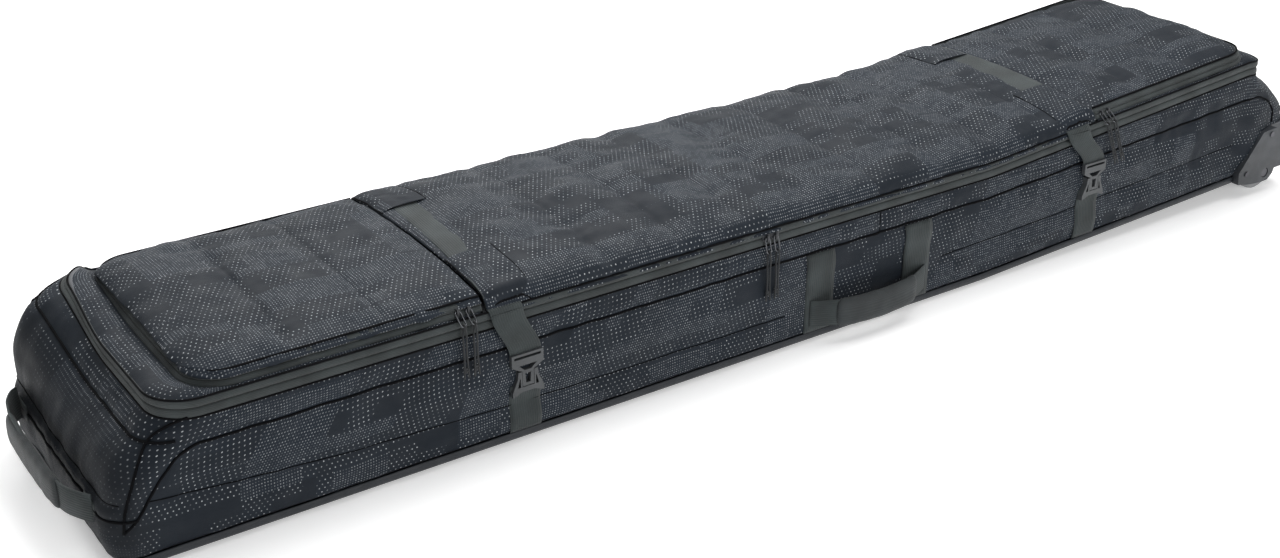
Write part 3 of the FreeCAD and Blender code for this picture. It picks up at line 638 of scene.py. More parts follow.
def wall_point(x, z, side):
    """The point of the wall at that length and height, on the near (-1) or far (1) side."""
    h = float(np.clip((z - band_z(x)) / (zip_z(x) - band_z(x)), 0, 1))
    r0, y = nose_radius(h), HALF
    if x < nose_x(h) + r0:
        d = min(r0, nose_x(h) + r0 - x)
        y = HALF - r0 + math.sqrt(max(0, r0 * r0 - d * d))
    if x > tail_x(h) - TAIL_RADIUS:
        d = min(TAIL_RADIUS, x - tail_x(h) + TAIL_RADIUS)
        y = HALF - TAIL_RADIUS + math.sqrt(max(0, TAIL_RADIUS**2 - d * d))
    return (x, side * y, z)


walls = []
for h in LEVELS:
    plan = outline(nose_x(h), tail_x(h), HALF, nose_radius(h), TAIL_RADIUS)
    low, high = band_z(plan[:, 0]), zip_z(plan[:, 0])
    low = low + (1 - h) * 0
    walls.append(np.column_stack([plan, low + h * (high - low)]))
walls = np.array(walls)


def wall_line(h, first, last):
    """A level line round one end of the bag, between two columns of the outline."""
    row = np.array([[np.interp(h, LEVELS, walls[:, j, k]) for k in range(3)] for j in range(first, last)])
    return row


columns = walls.shape[1]
long_count = int((HOUSING + 0.95) / 0.006)
across_count = int(2 * HALF / 0.006)
nose_start = 2 * long_count + 24 + 28 + across_count

PIPING_XZ = [(-0.961, 0.048), (-0.943, 0.065), (-0.916, 0.104), (-0.893, 0.127), (-0.870, PIPING), (BEND, PIPING)]
PIPING_XZ += [(x, PIPING + float(rise(x, SEAM_SLOPE))) for x in (0.5, 0.7, 0.862)]
PIPING_XZ += [(0.891, 0.171), (0.913, 0.159), (0.928, 0.137), (0.930, 0.114)]
NOSE_SEAM_XZ = [(-0.961, 0.048), (-0.957, 0.074), (-0.945, 0.102), (-0.928, 0.134), (-0.918, 0.147)]
NOSE_SEAM_XZ += [(-0.900, 0.159), (-0.876, 0.168)]
FRONT_FOLD_XZ = [(-0.93, 0.081), (-0.8, 0.069), (-0.575, 0.056), (-0.3, 0.052)]
wall_seams = []
piping_lines = []
nose_seam_lines = []
for side in (-1, 1):
    line = rounded([wall_point(x, z, side) for x, z in resample([(x, z, 0) for x, z in PIPING_XZ], 0.01)[:, :2]], 2)
    piping_lines.append(line)
    corner_line = rounded([wall_point(x, z, side) for x, z in NOSE_SEAM_XZ], 3)
    nose_seam_lines.append(corner_line)
    fold = [wall_point(x, z, side) for x, z in FRONT_FOLD_XZ]
    low_fold = [wall_point(x, 0.052 + float(rise(x, 0.045)), side) for x in (-0.3, -0.06)]
    rear_fold = [wall_point(x, 0.066 + float(rise(x, 0.052)), side) for x in (0.22, 0.4, 0.6, 0.84)]
    upright = [wall_point(0.101, z, side) for z in (PIPING, ZIP_LOW)]
    wall_seams += [line, corner_line, rounded(fold, 2), low_fold, rear_fold, upright]
    wall_seams += [[wall_point(x, band_z(x), side) for x in np.linspace(-0.94, 0.85, 40)]]
    wall_seams += [[wall_point(x, zip_z(x) - 0.001, side) for x in np.linspace(-0.85, 0.85, 60)]]
nose_lines = [wall_line(h, nose_start, columns) for h in (0.0, 0.31, 0.845, 1.0)]
stitched = wall_line(0.43, nose_start + 6, columns - 6)
tail_first = long_count + 12
tail_lines = [wall_line(h, tail_first, tail_first + 28 + across_count) for h in (0.0, 0.56, 1.0)]
wall_seams += nose_lines + [stitched] + tail_lines

wall_normals = normals_of(walls, wrap=True)
field = Seams(wall_seams)
dressed = dress(walls, wall_normals, field, 0.0085, 0.034, groove=0.002, pucker=0.0026, crumple=0.0036, seed=5)
behind_grip = np.exp(-(((walls[..., 0] - 0.084) / 0.135) ** 6) - ((walls[..., 2] - 0.062) / 0.052) ** 6)
behind_grip = (behind_grip * (walls[..., 1] < 0))[..., None]
dressed = dressed * (1 - behind_grip) + walls * behind_grip
dressed[-1] = walls[-1]
ring = np.vstack([walls[12], walls[12][:1]])
arc = np.concatenate([[0], np.cumsum(np.linalg.norm(np.diff(ring, axis=0), axis=1))])
on_nose = np.arange(columns) >= nose_start - 14
u_left = np.where(on_nose, walls[12, 0, 0] - (arc[-1] - arc[:-1]), 3 + arc[:-1])
u_right = np.where(on_nose, walls[12, 0, 0] - (arc[-1] - arc[1:]), 3 + arc[1:])
on_near = np.arange(columns) < long_count + 26
u_left = np.where(on_near, walls[12, 0, 0] + arc[:-1], u_left)
u_right = np.where(on_near, walls[12, 0, 0] + arc[1:], u_right)
middle = (walls[:-1] + np.roll(walls[:-1], -1, 1) + walls[1:] + np.roll(walls[1:], -1, 1)) / 4
edge_z = np.interp(middle[..., 0], [0.851, 0.898, 0.93, 0.975], [0.046, 0.106, 0.1075, 0.112]) - 0.006
in_housing = (middle[..., 0] > HOUSING) & (np.abs(middle[..., 1]) > HOUSING_Y) & (middle[..., 2] < edge_z)
faces = grid_faces(len(LEVELS), columns, wrap=True, keep=~in_housing)
corners = []
for i in range(len(LEVELS) - 1):
    for j in range(columns):
        if not in_housing[i, j]:
            k = (j + 1) % columns
            corners += [(u_left[j], walls[i, j, 2]), (u_right[j], walls[i, k, 2])]
            corners += [(u_right[j], walls[i + 1, k, 2]), (u_left[j], walls[i + 1, j, 2])]
wall_piece = mesh_from("bag_walls", dressed.reshape(-1, 3), faces, loop_uvs=corners)
add_thickness(wall_piece, 0.004)
add_subdivision(wall_piece)
finish_piece(
    wall_piece,
    FABRIC,
    "shell",
    "side_panel_near",
    "side_panel_far",
    "side_gusset_near",
    "side_gusset_far",
    "nose_end_panel",
    "nose_shoulder_panel",
    "wheel_end_panel",
    "wheel_shoulder_panel",
)

wall_tree = kdtree.KDTree(walls.shape[0] * columns)
flat_walls, flat_normals, flat_dressed = (a.reshape(-1, 3) for a in (walls, wall_normals, dressed))
for k, point in enumerate(flat_walls):
    wall_tree.insert(point, k)
wall_tree.balance()


def on_wall(point, lift=0.0):
    """A point of the plain wall moved on to the dressed one."""
    found = wall_tree.find_n(point, 4)
    weights = np.array([1 / (f[2] + 1e-4) for f in found])
    moved = np.array([flat_dressed[f[1]] - flat_walls[f[1]] for f in found])
    normal = flat_normals[found[0][1]]
    shift = (moved * weights[:, None]).sum(0) / weights.sum()
    return np.array(point) + shift + normal * lift


bars = []
for number, line in enumerate(piping_lines):
    path = [on_wall(p, 0.0004) for p in resample(line, 0.004)]
    bars.append(tube("piping_" + ("near", "far")[number], path, 0.0017, 8))
finish_piece(bars[0], PIPING_BLACK, "shell", "piping")
finish_piece(bars[1], PIPING_BLACK, "shell")
extra_seams = nose_seam_lines + [wall_line(0.845, nose_start - 4, columns - 1), wall_line(0.31, nose_start, columns)]
for number, line in enumerate(extra_seams):
    path = [on_wall(p, 0.0009) for p in resample(line, 0.004)]
    finish_piece(tube(f"seam_edge_{number}", path, 0.0017, 6), PIPING_BLACK, "shell")


def make_base():
    """Coated band and underside, lofted from the band's top edge to the middle of the base."""
    steps = [(0.0155, 0.0004), (0.0148, -0.0010), (0.0118, -0.0018), (0.0082, -0.0012), (0.0050, 0.0005)]
    steps += [(0.0025, 0.0035), (0.0006, 0.008)]
    steps += [(0, inset) for inset in (0.015, 0.03, TAIL_RADIUS, 0.08, 0.13, 0.175)]
    rings = []
    for height, inset in steps:
        r0 = max(0.030 - inset, 0.001)
        r1 = max(TAIL_RADIUS - inset, 0.0005)
        plan = outline(-0.975 + inset, 0.975 - inset, HALF - inset, r0, r1)
        z = rise(plan[:, 0], BASE_SLOPE) + height
        z = z + nose_lift(plan[:, 0]) * (1 - height / 0.03)
        rings.append(np.column_stack([plan, z]))
    rings = np.array(rings)
    n = -normals_of(rings, wrap=True)
    soft = noise(rings, 0.05, 31) * 0.0012 + noise(rings * np.array([1, 1, 0.4]), 0.018, 32) * 0.0006
    band_only = np.clip((np.array([s[0] for s in steps]) - 0.003) / 0.006, 0, 1)[:, None]
    rings = rings + n * (soft * band_only)[..., None]
    rings[..., 2] = np.maximum(rings[..., 2], 0.0002)
    flip = rings[::-1]
    mid = (flip[:-1] + np.roll(flip[:-1], -1, 1) + flip[1:] + np.roll(flip[1:], -1, 1)) / 4
    gone = (mid[..., 0] > HOUSING) & (np.abs(mid[..., 1]) > HOUSING_Y)
    along = np.concatenate([[0], np.cumsum(np.linalg.norm(np.diff(rings[0], axis=0), axis=1))])
    down = np.array([0, 0.002, 0.008, 0.015, 0.021, 0.027, 0.033, 0.04, 0.055, 0.07, 0.11, 0.16, 0.2])[::-1]
    uvs = np.stack(np.broadcast_arrays(along[None, :], down[:, None]), -1)
    faces = grid_faces(len(steps), rings.shape[1], wrap=True, keep=~gone)
    thing = mesh_from("base_shell", flip.reshape(-1, 3), faces, uvs.reshape(-1, 2))
    add_thickness(thing, 0.003)
    return finish_piece(thing, COATED, "shell", "base_tray")


make_base()

# ---------------------------------------------------------------- swept bands, zips and the lid


def sweep(name, plan, section, z_of, uv_from=0.0, closed_section=True):
    """Sweeps a section of (outwards, up) pairs along a plan line; z_of gives the height under it."""
    plan = np.asarray(plan, float)
    tangent = np.gradient(plan, axis=0)
    tangent /= np.linalg.norm(tangent, axis=1)[:, None]
    outwards = np.stack([tangent[:, 1], -tangent[:, 0]], 1)
    section = np.asarray(section, float)
    along = uv_from + np.concatenate([[0], np.cumsum(np.linalg.norm(np.diff(plan, axis=0), axis=1))])
    around = np.concatenate([[0], np.cumsum(np.linalg.norm(np.diff(section, axis=0), axis=1))])
    points, uvs = [], []
    for k, p in enumerate(plan):
        for (out, up), v in zip(section, around):
            q = p + outwards[k] * out
            points.append((q[0], q[1], float(z_of(p[0])) + up))
            uvs.append((along[k], v))
    count = len(section)
    faces = grid_faces(len(plan), count, wrap=closed_section)
    faces = [f[::-1] for f in faces]
    if closed_section:
        faces.append(tuple(range(count)))
        faces.append(tuple(range((len(plan) - 1) * count, len(plan) * count))[::-1])
    return mesh_from(name, points, faces, uvs)


def part_outline(x0, x1, half, r0, r1, reach):
    """The near side and both ends of an outline, and that much of the far side at each end."""
    plan = outline(x0, x1, half, r0, r1, split=min(HOUSING, x1 - r1 - 0.01))
    at = int(np.argmin(np.linalg.norm(plan - np.array([x0 + r0 + reach, half]), axis=1)))
    plan = np.roll(plan, -at, 0)
    stop = int(np.argmin(np.linalg.norm(plan - np.array([x1 - r1 - reach, half]), axis=1)))
    return plan[: stop + 1]


def tape_section(low, high, out=0.0008):
    """A tape rolled over its teeth, rounded where it meets its twin."""
    t = np.linspace(0, 1, 8)
    face = [(out + 0.0020 * math.sin(math.pi * k) ** 0.6 - 0.0010, low + (high - low) * k) for k in t]
    return [(-0.0014, low)] + face + [(-0.0014, high)]


def leaning(low, high, out_low, out_high, bulge=0.0024):
    """A tape that leans inwards from its foot to its top and bulges between them."""
    t = np.linspace(0, 1, 6)
    front = [(out_low * (1 - k) + out_high * k + bulge * math.sin(math.pi * k), low + (high - low) * k) for k in t]
    back = [(o - 0.0016, z) for o, z in front[::-1]]
    return back[::-1][:1] + front + back[:1]


lid_plan = part_outline(-0.908, 0.900, HALF, 0.050, TAIL_RADIUS, 0.045)
tape_rise = lambda x: rise(x, TOP_SLOPE)
lower = sweep("main_zip_lower", lid_plan, tape_section(ZIP_LOW - 0.002, ZIP_MID - 0.0003), tape_rise)
finish_piece(lower, ZIP_TAPE, "shell", "main_zip_lower_tape")
upper = sweep("main_zip_upper", lid_plan, tape_section(ZIP_MID + 0.0003, ZIP_HIGH + 0.001), tape_rise)
finish_piece(upper, ZIP_TAPE, "lid", "main_zip_upper_tape")


def edge_cord(name, plan, out, up, body, radius=0.0011, slope=True):
    """A thin dark bound edge beside a zip."""
    plan = np.asarray(plan, float)
    tangent = np.gradient(plan, axis=0)
    tangent /= np.linalg.norm(tangent, axis=1)[:, None]
    outwards = np.stack([tangent[:, 1], -tangent[:, 0]], 1)
    xy = plan + outwards * out
    z = up + (rise(plan[:, 0], TOP_SLOPE) if slope else 0)
    thing = tube(name, np.column_stack([xy, z]), radius, 6)
    return finish_piece(thing, PIPING_BLACK, body)


edge_cord("main_zip_edge_low", lid_plan, 0.0010, ZIP_LOW - 0.0016, "shell", 0.0014)
edge_cord("main_zip_edge_high", lid_plan, 0.0006, ZIP_HIGH + 0.0010, "lid", 0.0014)


def top_height(x, y, dome=0.011):
    """Height of the padded top before its seams."""
    x, y = np.asarray(x, float), np.asarray(y, float)
    across = np.clip(np.abs(y) / HALF, 0, 1)
    return TOP + rise(x, TOP_SLOPE) + dome * (1 - across**2)


def quilt(name, xs, edge_of, edge_low, seam_xs, dome=0.011, puff=0.0075, seed=0, rim=0.013, ends=(), pressed=()):
    """A quilted top. edge_of(x) is its half width, edge_low how far its rim hangs below the top."""
    xs = np.asarray(xs, float)
    t = np.concatenate([-1 + 0.5 * (np.linspace(0, 1, 9) ** 2) * 0.16, np.linspace(-0.92, 0.92, 59)[1:-1]])
    t = np.concatenate([t, -t[:9][::-1]])
    half = np.array([edge_of(x) for x in xs])
    y = t[None, :] * half[:, None]
    x = np.broadcast_to(xs[:, None], y.shape)
    to_side = half[:, None] - np.abs(y)
    to_end = np.full_like(y, 1.0)
    for end in ends:
        to_end = np.minimum(to_end, np.abs(x - end))
    from_edge = np.minimum(to_side, to_end)
    fall = 1 - np.sqrt(np.clip(1 - (1 - np.clip(from_edge / rim, 0, 1)) ** 2.2, 0, 1))
    z = top_height(x, y, dome) - edge_low * fall - dome * 0.6 * np.exp(-from_edge / 0.02)
    points = np.stack([x, y, z], -1)
    lines = []
    for sx in seam_xs:
        w = edge_of(sx)
        ys = np.linspace(-w, w, 90)
        lines.append(np.column_stack([np.full(90, sx), ys, top_height(np.full(90, sx), ys, dome)]))
    border = [np.column_stack([xs, s * half, top_height(xs, s * half, dome) - edge_low]) for s in (-1, 1)]
    for k in (0, -1):
        ys = np.linspace(-half[k], half[k], 90)
        lines.append(np.column_stack([np.full(90, xs[k]), ys, top_height(np.full(90, xs[k]), ys, dome)]))
    field = Seams(lines + border + border)
    normals = normals_of(points.transpose(1, 0, 2)).transpose(1, 0, 2)
    normals *= np.sign(normals[..., 2:3] + 1e-9)
    out = dress(points, normals, field, puff, 0.036, groove=0.0034, pucker=0.0030, crumple=0.0030, seed=seed)
    for strap_x, slant in pressed:
        off = np.abs(x - strap_x - slant * y)
        hold = np.exp(-((off / 0.031) ** 4))[..., None]
        out = out * (1 - hold * 0.85) + points * hold * 0.85
    rows, cols = y.shape
    across = np.cumsum(np.linalg.norm(np.diff(points, axis=1, prepend=points[:, :1]), axis=-1), axis=1)
    uvs = np.stack([x, across - across[:, cols // 2 : cols // 2 + 1]], -1)
    faces = grid_faces(rows, cols)
    thing = mesh_from(name, out.reshape(-1, 3), faces, uvs.reshape(-1, 2))
    return thing, out


def steps(a, b, step=0.005):
    return np.linspace(a, b, int(abs(b - a) / step) + 1)


LID_SEAMS = [-0.335, -0.230, -0.125, -0.020, 0.100, 0.215, 0.320, 0.425]
lid_piece, lid_points = quilt(
    "lid_quilt_top",
    steps(-0.5090, 0.5095),
    lambda x: HALF - 0.0005,
    TOP - ZIP_HIGH - 0.0005,
    LID_SEAMS,
    seed=11,
    pressed=[(-0.478, 0.05), (0.482, 0.06)],
)
add_thickness(lid_piece, 0.003)
add_subdivision(lid_piece)
finish_piece(lid_piece, FABRIC, "lid", "lid_quilt")


def pocket_half(end, radius, half):
    """Half width of a pocket whose outer end is rounded."""

    def width(x):
        d = abs(end - x)
        if d >= radius:
            return half
        return half - radius + math.sqrt(max(0, radius**2 - (radius - d) ** 2))

    return width


def rounded_steps(end, seam, radius):
    turn = np.linspace(0, math.pi / 2, 12)
    sign = 1 if seam > end else -1
    near = end + sign * radius * (1 - np.cos(turn))
    rest = steps(end + sign * radius, seam)
    return np.concatenate([near, rest[1:]])


POCKET_RADIUS = 0.045


def pocket_path(end, seam):
    """The pocket's outline from one end of its seam to the other, anticlockwise."""
    out = 1 if end > seam else -1
    start = seam + out * 0.001
    r, half = POCKET_RADIUS, POCKET_HALF
    turn = np.linspace(0, math.pi / 2, 16)
    first = [(x, -half) for x in steps(start, end - out * r)]
    corner = [(end - out * r + out * r * math.sin(t), -half + r - r * math.cos(t)) for t in turn[1:]]
    across = [(end, y) for y in steps(-half + r, half - r)[1:]]
    near = first + corner + across
    far = [(x, -y) for x, y in (first + corner)[::-1]]
    path = near + far
    return np.array(path if out > 0 else path[::-1])


for name, end, seam, seam_xs, body in (
    ("nose", NOSE_POCKET - 0.001, NOSE_SEAM - 0.0015, (-0.745, -0.633), "nose_flap"),
    ("wheel", WHEEL_POCKET + 0.001, WHEEL_SEAM + 0.0015, (0.620, 0.735), "wheel_flap"),
):
    piece, points = quilt(
        name + "_flap_top",
        rounded_steps(end, seam, POCKET_RADIUS),
        pocket_half(end, POCKET_RADIUS, POCKET_HALF + 0.001),
        0.0035,
        seam_xs,
        dome=0.010,
        puff=0.0065,
        seed=21 if name == "nose" else 27,
        rim=0.012,
        ends=[end],
    )
    add_thickness(piece, 0.0035)
    add_subdivision(piece)
    piece.data.materials.append(FABRIC)
    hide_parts(name + "_pocket_flap")
    PIECES.append(piece)
    out = math.copysign(1, end - seam)
    fold_z = float(TOP + rise(seam, TOP_SLOPE))
    FOLDS.append((piece, "lid", body, (seam, 0, fold_z), (seam + out * 0.024, 0, fold_z)))
    path = pocket_path(end, seam)
    z_of = tape_rise
    foot = sweep(name + "_zip_lower", path, leaning(0.1873, 0.1967, 0.0046, 0.0020), z_of)
    finish_piece(foot, ZIP_TAPE, "lid", name + "_pocket_wall")
    head = sweep(name + "_zip_upper", path, leaning(0.1973, 0.2055, 0.0020, -0.0040), z_of)
    finish_piece(head, ZIP_TAPE, body)
    edge_cord(name + "_zip_edge", path, -0.0032, 0.2063, body, 0.0015)
    edge_cord(name + "_zip_foot", path, 0.0054, 0.1890, "lid", 0.0014)

    outer = outline(-0.908, 0.900, HALF - 0.0006, 0.050, TAIL_RADIUS, split=HOUSING - 0.01)
    beyond = outer[:, 0] < seam if name == "nose" else outer[:, 0] > seam
    ring = outer[beyond]
    jumps = np.linalg.norm(np.diff(ring, axis=0), axis=1)
    if jumps.max() > 0.05:
        cut = int(np.argmax(jumps)) + 1
        ring = np.vstack([ring[cut:], ring[:cut]])
    inner = []
    for p in ring:
        d = np.linalg.norm(path - p, axis=1)
        inner.append(path[int(np.argmin(d))])
    inner = np.array(inner)
    inner = np.column_stack([soften(inner[:, 0], 2), soften(inner[:, 1], 2)])
    rows = np.linspace(0, 1, 9)
    strip = []
    for t in rows:
        xy = ring * (1 - t) + inner * t
        width = np.linalg.norm(ring - inner, axis=1)
        lump = np.sin(math.pi * t) * (0.0015 + np.minimum(width, 0.045) * 0.10)
        z = ZIP_HIGH + 0.0004 + rise(xy[:, 0], TOP_SLOPE) + lump
        strip.append(np.column_stack([xy, z]))
    strip = np.array(strip)
    lines = [strip[0], strip[-1]]
    strip_field = Seams(lines)
    normals = np.zeros_like(strip)
    normals[..., 2] = 1
    strip = dress(strip, normals, strip_field, 0.0008, 0.012, 0.0004, 0.0012, 0.0008, seed=41)
    along = np.concatenate([[0], np.cumsum(np.linalg.norm(np.diff(ring, axis=0), axis=1))])
    uvs = np.stack([np.broadcast_to(along, strip.shape[:2]), strip[..., 1] * 0 + rows[:, None] * 0.045 + 0.4], -1)
    border = mesh_from(name + "_lid_border", strip.reshape(-1, 3), grid_faces(9, len(ring)), uvs.reshape(-1, 2))
    add_subdivision(border)
    finish_piece(border, FABRIC, "lid")


def make_lining():
    """The lining under the lid, a thin quilted sheet."""
    plan = outline(-0.9065, 0.8985, HALF - 0.0025, 0.049, TAIL_RADIUS - 0.001, split=HOUSING - 0.01)
    rings = []
    for inset in (0, 0.004, 0.012, 0.03, 0.06, 0.1, 0.15, 0.178):
        r0, r1 = max(0.049 - inset, 0.001), max(TAIL_RADIUS - 0.001 - inset, 0.001)
        p = outline(-0.9065 + inset, 0.8985 - inset, HALF - 0.0025 - inset, r0, r1, split=HOUSING - 0.01)
        z = 0.1850 + rise(p[:, 0], TOP_SLOPE) - 0.001 * min(1, inset / 0.02)
        rings.append(np.column_stack([p, z]))
    rings.append(rings[-1] * np.array([1, 0, 1]))
    rings = np.array(rings)
    faces = grid_faces(len(rings), rings.shape[1], wrap=True)
    thing = mesh_from("lid_lining", rings.reshape(-1, 3), faces, rings[..., :2].reshape(-1, 2))
    add_thickness(thing, 0.0018, 1)
    return finish_piece(thing, LINING, "lid", "lid_liner")


make_lining()

# ---------------------------------------------------------------- straps

lid_tree = kdtree.KDTree(lid_points.shape[0] * lid_points.shape[1])
for k, point in enumerate(lid_points.reshape(-1, 3)):
    lid_tree.insert((point[0], point[1], 0), k)
lid_tree.balance()
flat_lid = lid_points.reshape(-1, 3)


def lid_z(x, y):
    found = lid_tree.find_n((x, y, 0), 4)
    weights = np.array([1 / (f[2] + 1e-4) for f in found])
    return float((np.array([flat_lid[f[1]][2] for f in found]) * weights).sum() / weights.sum())


def ribbon(name, centres, sides, normals, width, thickness, crown=0.0, rows=7):
    """A flat strap along a line, with a side direction and an outward normal at each point."""
    centres, sides, normals = (np.asarray(a, float) for a in (centres, sides, normals))
    t = np.linspace(-1, 1, rows)
    along = np.concatenate([[0], np.cumsum(np.linalg.norm(np.diff(centres, axis=0), axis=1))])
    points, uvs = [], []
    for k, c in enumerate(centres):
        for u in t:
            bow = crown * (1 - u * u)
            points.append(c + sides[k] * width / 2 * u + normals[k] * bow)
            uvs.append((along[k], u * width / 2))
    thing = mesh_from(name, points, grid_faces(len(centres), rows), uvs)
    add_thickness(thing, thickness, 0)
    return thing


STRAPS = {
    "front": dict(top=-0.482, buckle=-0.4625, base=0.069, mouth=-0.487, far=-0.470, raised=False),
    "rear": dict(top=0.482, buckle=0.509, base=0.089, mouth=0.470, far=0.486, raised=True),
}
for name, s in STRAPS.items():
    up = float(rise(s["top"], TOP_SLOPE))
    runs = ((0.1795, 0.10, 14), (0.095, -0.155, 44), (-0.16, -0.1815, 8))
    ys = np.concatenate([np.linspace(*run) for run in runs])
    centres = []
    for y in ys:
        x = float(np.interp(y, [-0.18, -0.12, 0.09, 0.18], [s["mouth"], s["top"] - 0.002, s["far"], s["far"]]))
        heights = [lid_z(x + d, y) for d in (-0.016, 0, 0.016)]
        centres.append((x, y, max(heights) * 0.8 + sum(heights) / 3 * 0.2 + 0.0019))
    centres = np.array(centres)
    centres[:, 2] = soften(centres[:, 2], 2)
    x, z = s["mouth"], centres[-1][2]
    bend = [(x + 0.0008, -0.1868, z - 0.0022), (x + 0.0015, -0.1892, z - 0.007)]
    top_line = np.vstack([centres, bend])
    tilt_side = np.array([1, 0, TOP_SLOPE if s["raised"] else 0])
    tilt_side = tilt_side / np.linalg.norm(tilt_side)
    sides = np.tile(tilt_side, (len(top_line), 1))
    tangents = np.gradient(top_line, axis=0)
    normals = np.cross(tangents, sides)
    normals /= np.linalg.norm(normals, axis=1)[:, None]
    normals *= np.where(normals[:, 2:3] + 0.01 * (normals[:, 1:2] < 0) >= 0, 1, -1)
    strap = ribbon(name + "_strap_top", top_line, sides, normals, 0.044, 0.0016)
    add_bevel(strap, 0.0004, 1)
    if name == "front":
        finish_piece(strap, WEBBING, "lid", "lid_straps")
    else:
        finish_piece(strap, WEBBING, "lid")
    start = np.array(top_line[-1])
    end = np.array((s["buckle"], -0.1885, s["base"] + 0.0525))
    t = np.linspace(0, 1, 22)[:, None]
    ease = t * t * (3 - 2 * t)
    drop_line = start * (1 - t) + end * t
    drop_line[:, 0] = (start[0] * (1 - ease) + end[0] * ease)[:, 0]
    drop_line[:, 1] = -0.1888 - 0.0035 * np.sin(math.pi * t[:, 0]) - 0.0004
    sides = np.tile(np.array([1.0, 0, 0]), (22, 1))
    drop = ribbon(name + "_strap_hang", drop_line, sides, np.tile([0, -1.0, 0], (22, 1)), 0.0435, 0.0016, 0.0008)
    add_bevel(drop, 0.0004, 1)
    finish_piece(drop, WEBBING, "lid", name + "_strap_drop")
    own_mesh(drop)

    for side in (-1, 1):
        vs = np.linspace(0, 1, 26)
        us = np.linspace(-1, 1, 25)
        x_low, x_high = (-0.508, -0.446) if name == "front" else (0.440, 0.508)
        grid = np.zeros((26, 25, 3))
        for i, v in enumerate(vs):
            y = side * (0.083 + v * 0.0985)
            for j, u in enumerate(us):
                x = (x_low + x_high) / 2 + u * (x_high - x_low) / 2
                edge = 1 - abs(u) ** 3.2
                arch = 0.0036 + (0.0045 * max(0, v - 0.72) / 0.28 if side < 0 else 0.0)
                roll = 0.0035 * max(0, v - 0.93) / 0.07
                grid[i, j] = (x, y, lid_z(x, y) + 0.0022 + arch * edge - roll * (1 - edge * 0.6))
        grid[..., 2] += noise(grid, 0.012, 61) * 0.0006
        uvs = grid[..., :2] + np.array([0.31, 0.17])
        order, uvs = (grid, uvs) if side > 0 else (grid[::-1], uvs[::-1])
        label = f"{name}_sleeve_{'near' if side < 0 else 'far'}"
        thing = mesh_from(label, order.reshape(-1, 3), grid_faces(26, 25), uvs.reshape(-1, 2))
        add_thickness(thing, 0.0011, 1)
        add_subdivision(thing)
        if name == "front" and side < 0:
            finish_piece(thing, FABRIC, "lid", "strap_sleeves")
        else:
            finish_piece(thing, FABRIC, "lid")
        for edge in (0, -1):
            rim = [grid[i, edge] + np.array([0, 0, 0.0003]) for i in range(26)]
            label = f"{name}_sleeve_edge_{'near' if side < 0 else 'far'}_{edge + 1}"
            finish_piece(tube(label, resample(rim, 0.004), 0.0012, 6), PIPING_BLACK, "lid")
        if side < 0:
            mouth = [grid[-1, j] + np.array([0, -0.0006, 0.0006]) for j in range(25)]
            finish_piece(tube(name + "_sleeve_mouth", resample(mouth, 0.002), 0.0014, 8), PIPING_BLACK, "lid")
    low_z = float(band_z(s["buckle"])) - 0.001
    zs = np.linspace(s["base"] + 0.014, low_z, 12)
    centres = [on_wall(wall_point(s["buckle"], max(z, float(band_z(s["buckle"])) + 0.001), -1), 0.0012) for z in zs]
    sides = np.tile([1.0, 0, 0], (12, 1))
    end_strip = ribbon(name + "_strap_end", centres, sides, np.tile([0, -1.0, 0], (12, 1)), 0.044, 0.0015)
    finish_piece(end_strip, WEBBING, "shell")

# ---------------------------------------------------------------- grips


def side_strips():
    first = True
    for x in (-0.003, 0.170):
        zs = np.linspace(PIPING - 0.002, BAND + 0.001, 22)
        centres = [on_wall(wall_point(x, z, -1), 0.0012) for z in zs]
        label = f"side_strip_{0 if first else 1}"
        strip = ribbon(label, centres, [(1, 0, 0)] * 22, [(0, -1, 0)] * 22, 0.048, 0.0015)
        if first:
            finish_piece(strip, WEBBING, "shell", "side_webbing")
        else:
            finish_piece(strip, WEBBING, "shell")
        first = False


side_strips()


def ribbon_solid(name, line, out, up, thick, tall):
    """Flat webbing on edge along a line."""
    corners = [(-1, -1), (1, -1), (1, 1), (-1, 1)]
    points = [p + o * thick * a + np.array(up) * tall * b for p, o in zip(line, out) for a, b in corners]
    uvs = [(k * 0.004, v * tall) for k in range(len(line)) for v in (0, 0.1, 2.1, 2.2)]
    faces = grid_faces(len(line), 4, wrap=True)
    faces += [(0, 1, 2, 3)[::-1], tuple(range(4 * len(line) - 4, 4 * len(line)))]
    thing = mesh_from(name, points, faces, uvs)
    add_bevel(thing, 0.0004, 1)
    return thing


